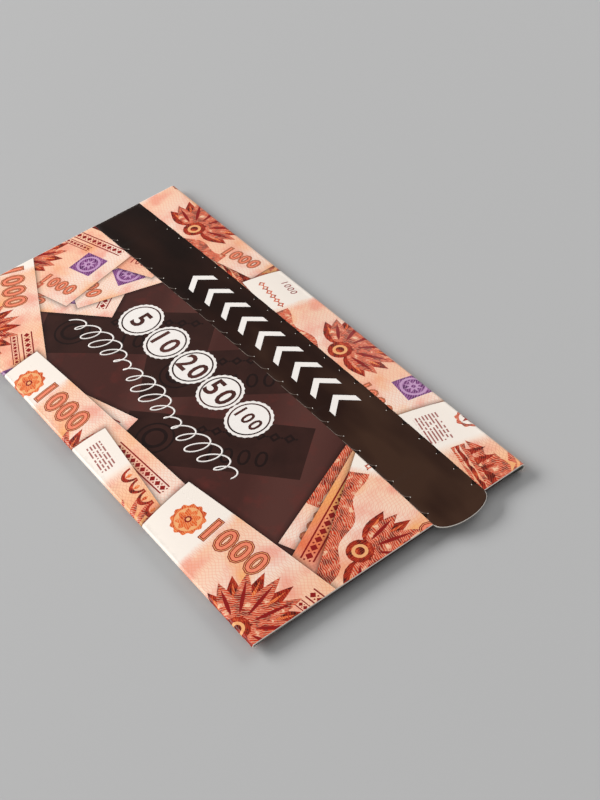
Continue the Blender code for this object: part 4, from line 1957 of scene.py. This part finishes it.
tips_along = cut_tips()
tree, given, values = new_tree("tear_nicks", {
    "First tip": ("Float", tips_along[0]),
    "Pitch": ("Float", cut_pitch),
    "Tips": ("Int", len(tips_along)),
    "Depth": ("Float", curl_depth),
    "Length": ("Float", 0.48),
    "Width": ("Float", 0.18),
    "Height": ("Float", 0.13),
    "Seed": ("Int", 7),
    "Finish": ("Material", finishes["cut_edge"]),
})
blob = step(tree, "GeometryNodeMeshIcoSphere", Radius=0.5, Subdivisions=2)
size = step(tree, "ShaderNodeCombineXYZ", X=given["Length"], Y=given["Width"], Z=given["Height"])
blob = step(tree, "GeometryNodeTransform", Geometry=blob, Scale=size)
rows = node(tree, "GeometryNodeJoinGeometry")
for base, inward in ((strip_low, 1.0), (strip_high, -1.0)):
    across = given["Depth"] * inward + base
    start = step(tree, "ShaderNodeCombineXYZ", X=given["First tip"], Y=across)
    offset = step(tree, "ShaderNodeCombineXYZ", X=given["Pitch"])
    line = step(tree, "GeometryNodeMeshLine", Count=given["Tips"], Start_Location=start, Offset=offset)
    feed(rows.inputs["Geometry"], line)
x, y, _ = parts(tree, step(tree, "GeometryNodeInputPosition"))
lifted = step(tree, "ShaderNodeCombineXYZ", X=x, Y=y, Z=bow_height(x, y))
points = step(tree, "GeometryNodeSetPosition", Geometry=rows.outputs[0], Position=lifted)
turns = scattered(tree, given["Seed"], *nick_turns)
sizes = scattered(tree, given["Seed"], *nick_sizes)
placing = {"Points": points, "Instance": blob, "Rotation": turns, "Scale": sizes}
nicks = step(tree, "GeometryNodeInstanceOnPoints", **placing)
finish_tree(tree, nicks, given["Finish"])
tear_nicks = grown("tear_nicks", tree, values)
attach(tear_nicks, "envelope")

# %% [markdown]
# ### Pen flourish
#
# Under the coins runs one unbroken pen line in cream, a slanted row of loops in three swells.
# A pen presses harder on its down strokes, so the line is thicker there. It is a curve whose points
# follow a formula, swept with a flat section, and it stands about a thirtieth of a millimetre proud,
# as screen-printed ink does.

# %% Flourish under the coins
full_turn = 2 * math.pi
smallest_loop = 0.34
sway_reach = 1.1
press_swing = 0.35
usual_press = 0.78
end_taper = 12.0
ink_lift = 0.012
tree, given, values = new_tree("pen_flourish", {
    "Middle": ("Float", -4.0),
    "Row": ("Float", -16.0),
    "Reach": ("Float", 84.0),
    "Loops": ("Float", 17.0),
    "Loop height": ("Float", 7.6),
    "Loop width": ("Float", 5.2),
    "Swells": ("Float", 3.0),
    "Slant": ("Float", 0.42),
    "Stroke": ("Float", 0.46),
    "Relief": ("Float", 0.04),
    "Points": ("Int", 560),
    "Finish": ("Material", finishes["cream"]),
})
line = step(tree, "GeometryNodeCurvePrimitiveLine", End=(1.0, 0.0, 0.0))
line = step(tree, "GeometryNodeResampleCurve", Curve=line, Count=given["Points"])
share = parts(tree, step(tree, "GeometryNodeInputPosition"))[0]
phase = share * given["Loops"] * full_turn
swell = (share * given["Swells"] * math.pi).sine().size() ** 1.4
loop_size = swell * (1 - smallest_loop) + smallest_loop
sideways = phase.sine() * (given["Loop width"] * loop_size) * -0.5
upwards = phase.cosine() * (given["Loop height"] * loop_size) * -0.5
rise = (share * full_turn).sine() * sway_reach + upwards
x = (share - 0.5) * given["Reach"] + given["Middle"] + sideways + rise * given["Slant"]
y = given["Row"] + rise
spot = step(tree, "ShaderNodeCombineXYZ", X=x, Y=y, Z=bow_height(x, y) + ink_lift)
line = step(tree, "GeometryNodeSetPosition", Geometry=line, Position=spot)
line = step(tree, "GeometryNodeSetCurveNormal", {"mode": "Z_UP"}, Curve=line)
press = phase.sine() * press_swing + usual_press
ends = ((share * math.pi).sine() * end_taper).clamped()
line = step(tree, "GeometryNodeSetCurveRadius", Curve=line, Radius=press * ends)
nib = {"Width": given["Stroke"], "Height": given["Relief"]}
profile = step(tree, "GeometryNodeCurvePrimitiveQuadrilateral", **nib)
swept = step(tree, "GeometryNodeCurveToMesh", Curve=line, Profile_Curve=profile, Fill_Caps=True)
finish_tree(tree, swept, given["Finish"])
pen_flourish = grown("pen_flourish", tree, values)
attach(pen_flourish, "envelope")
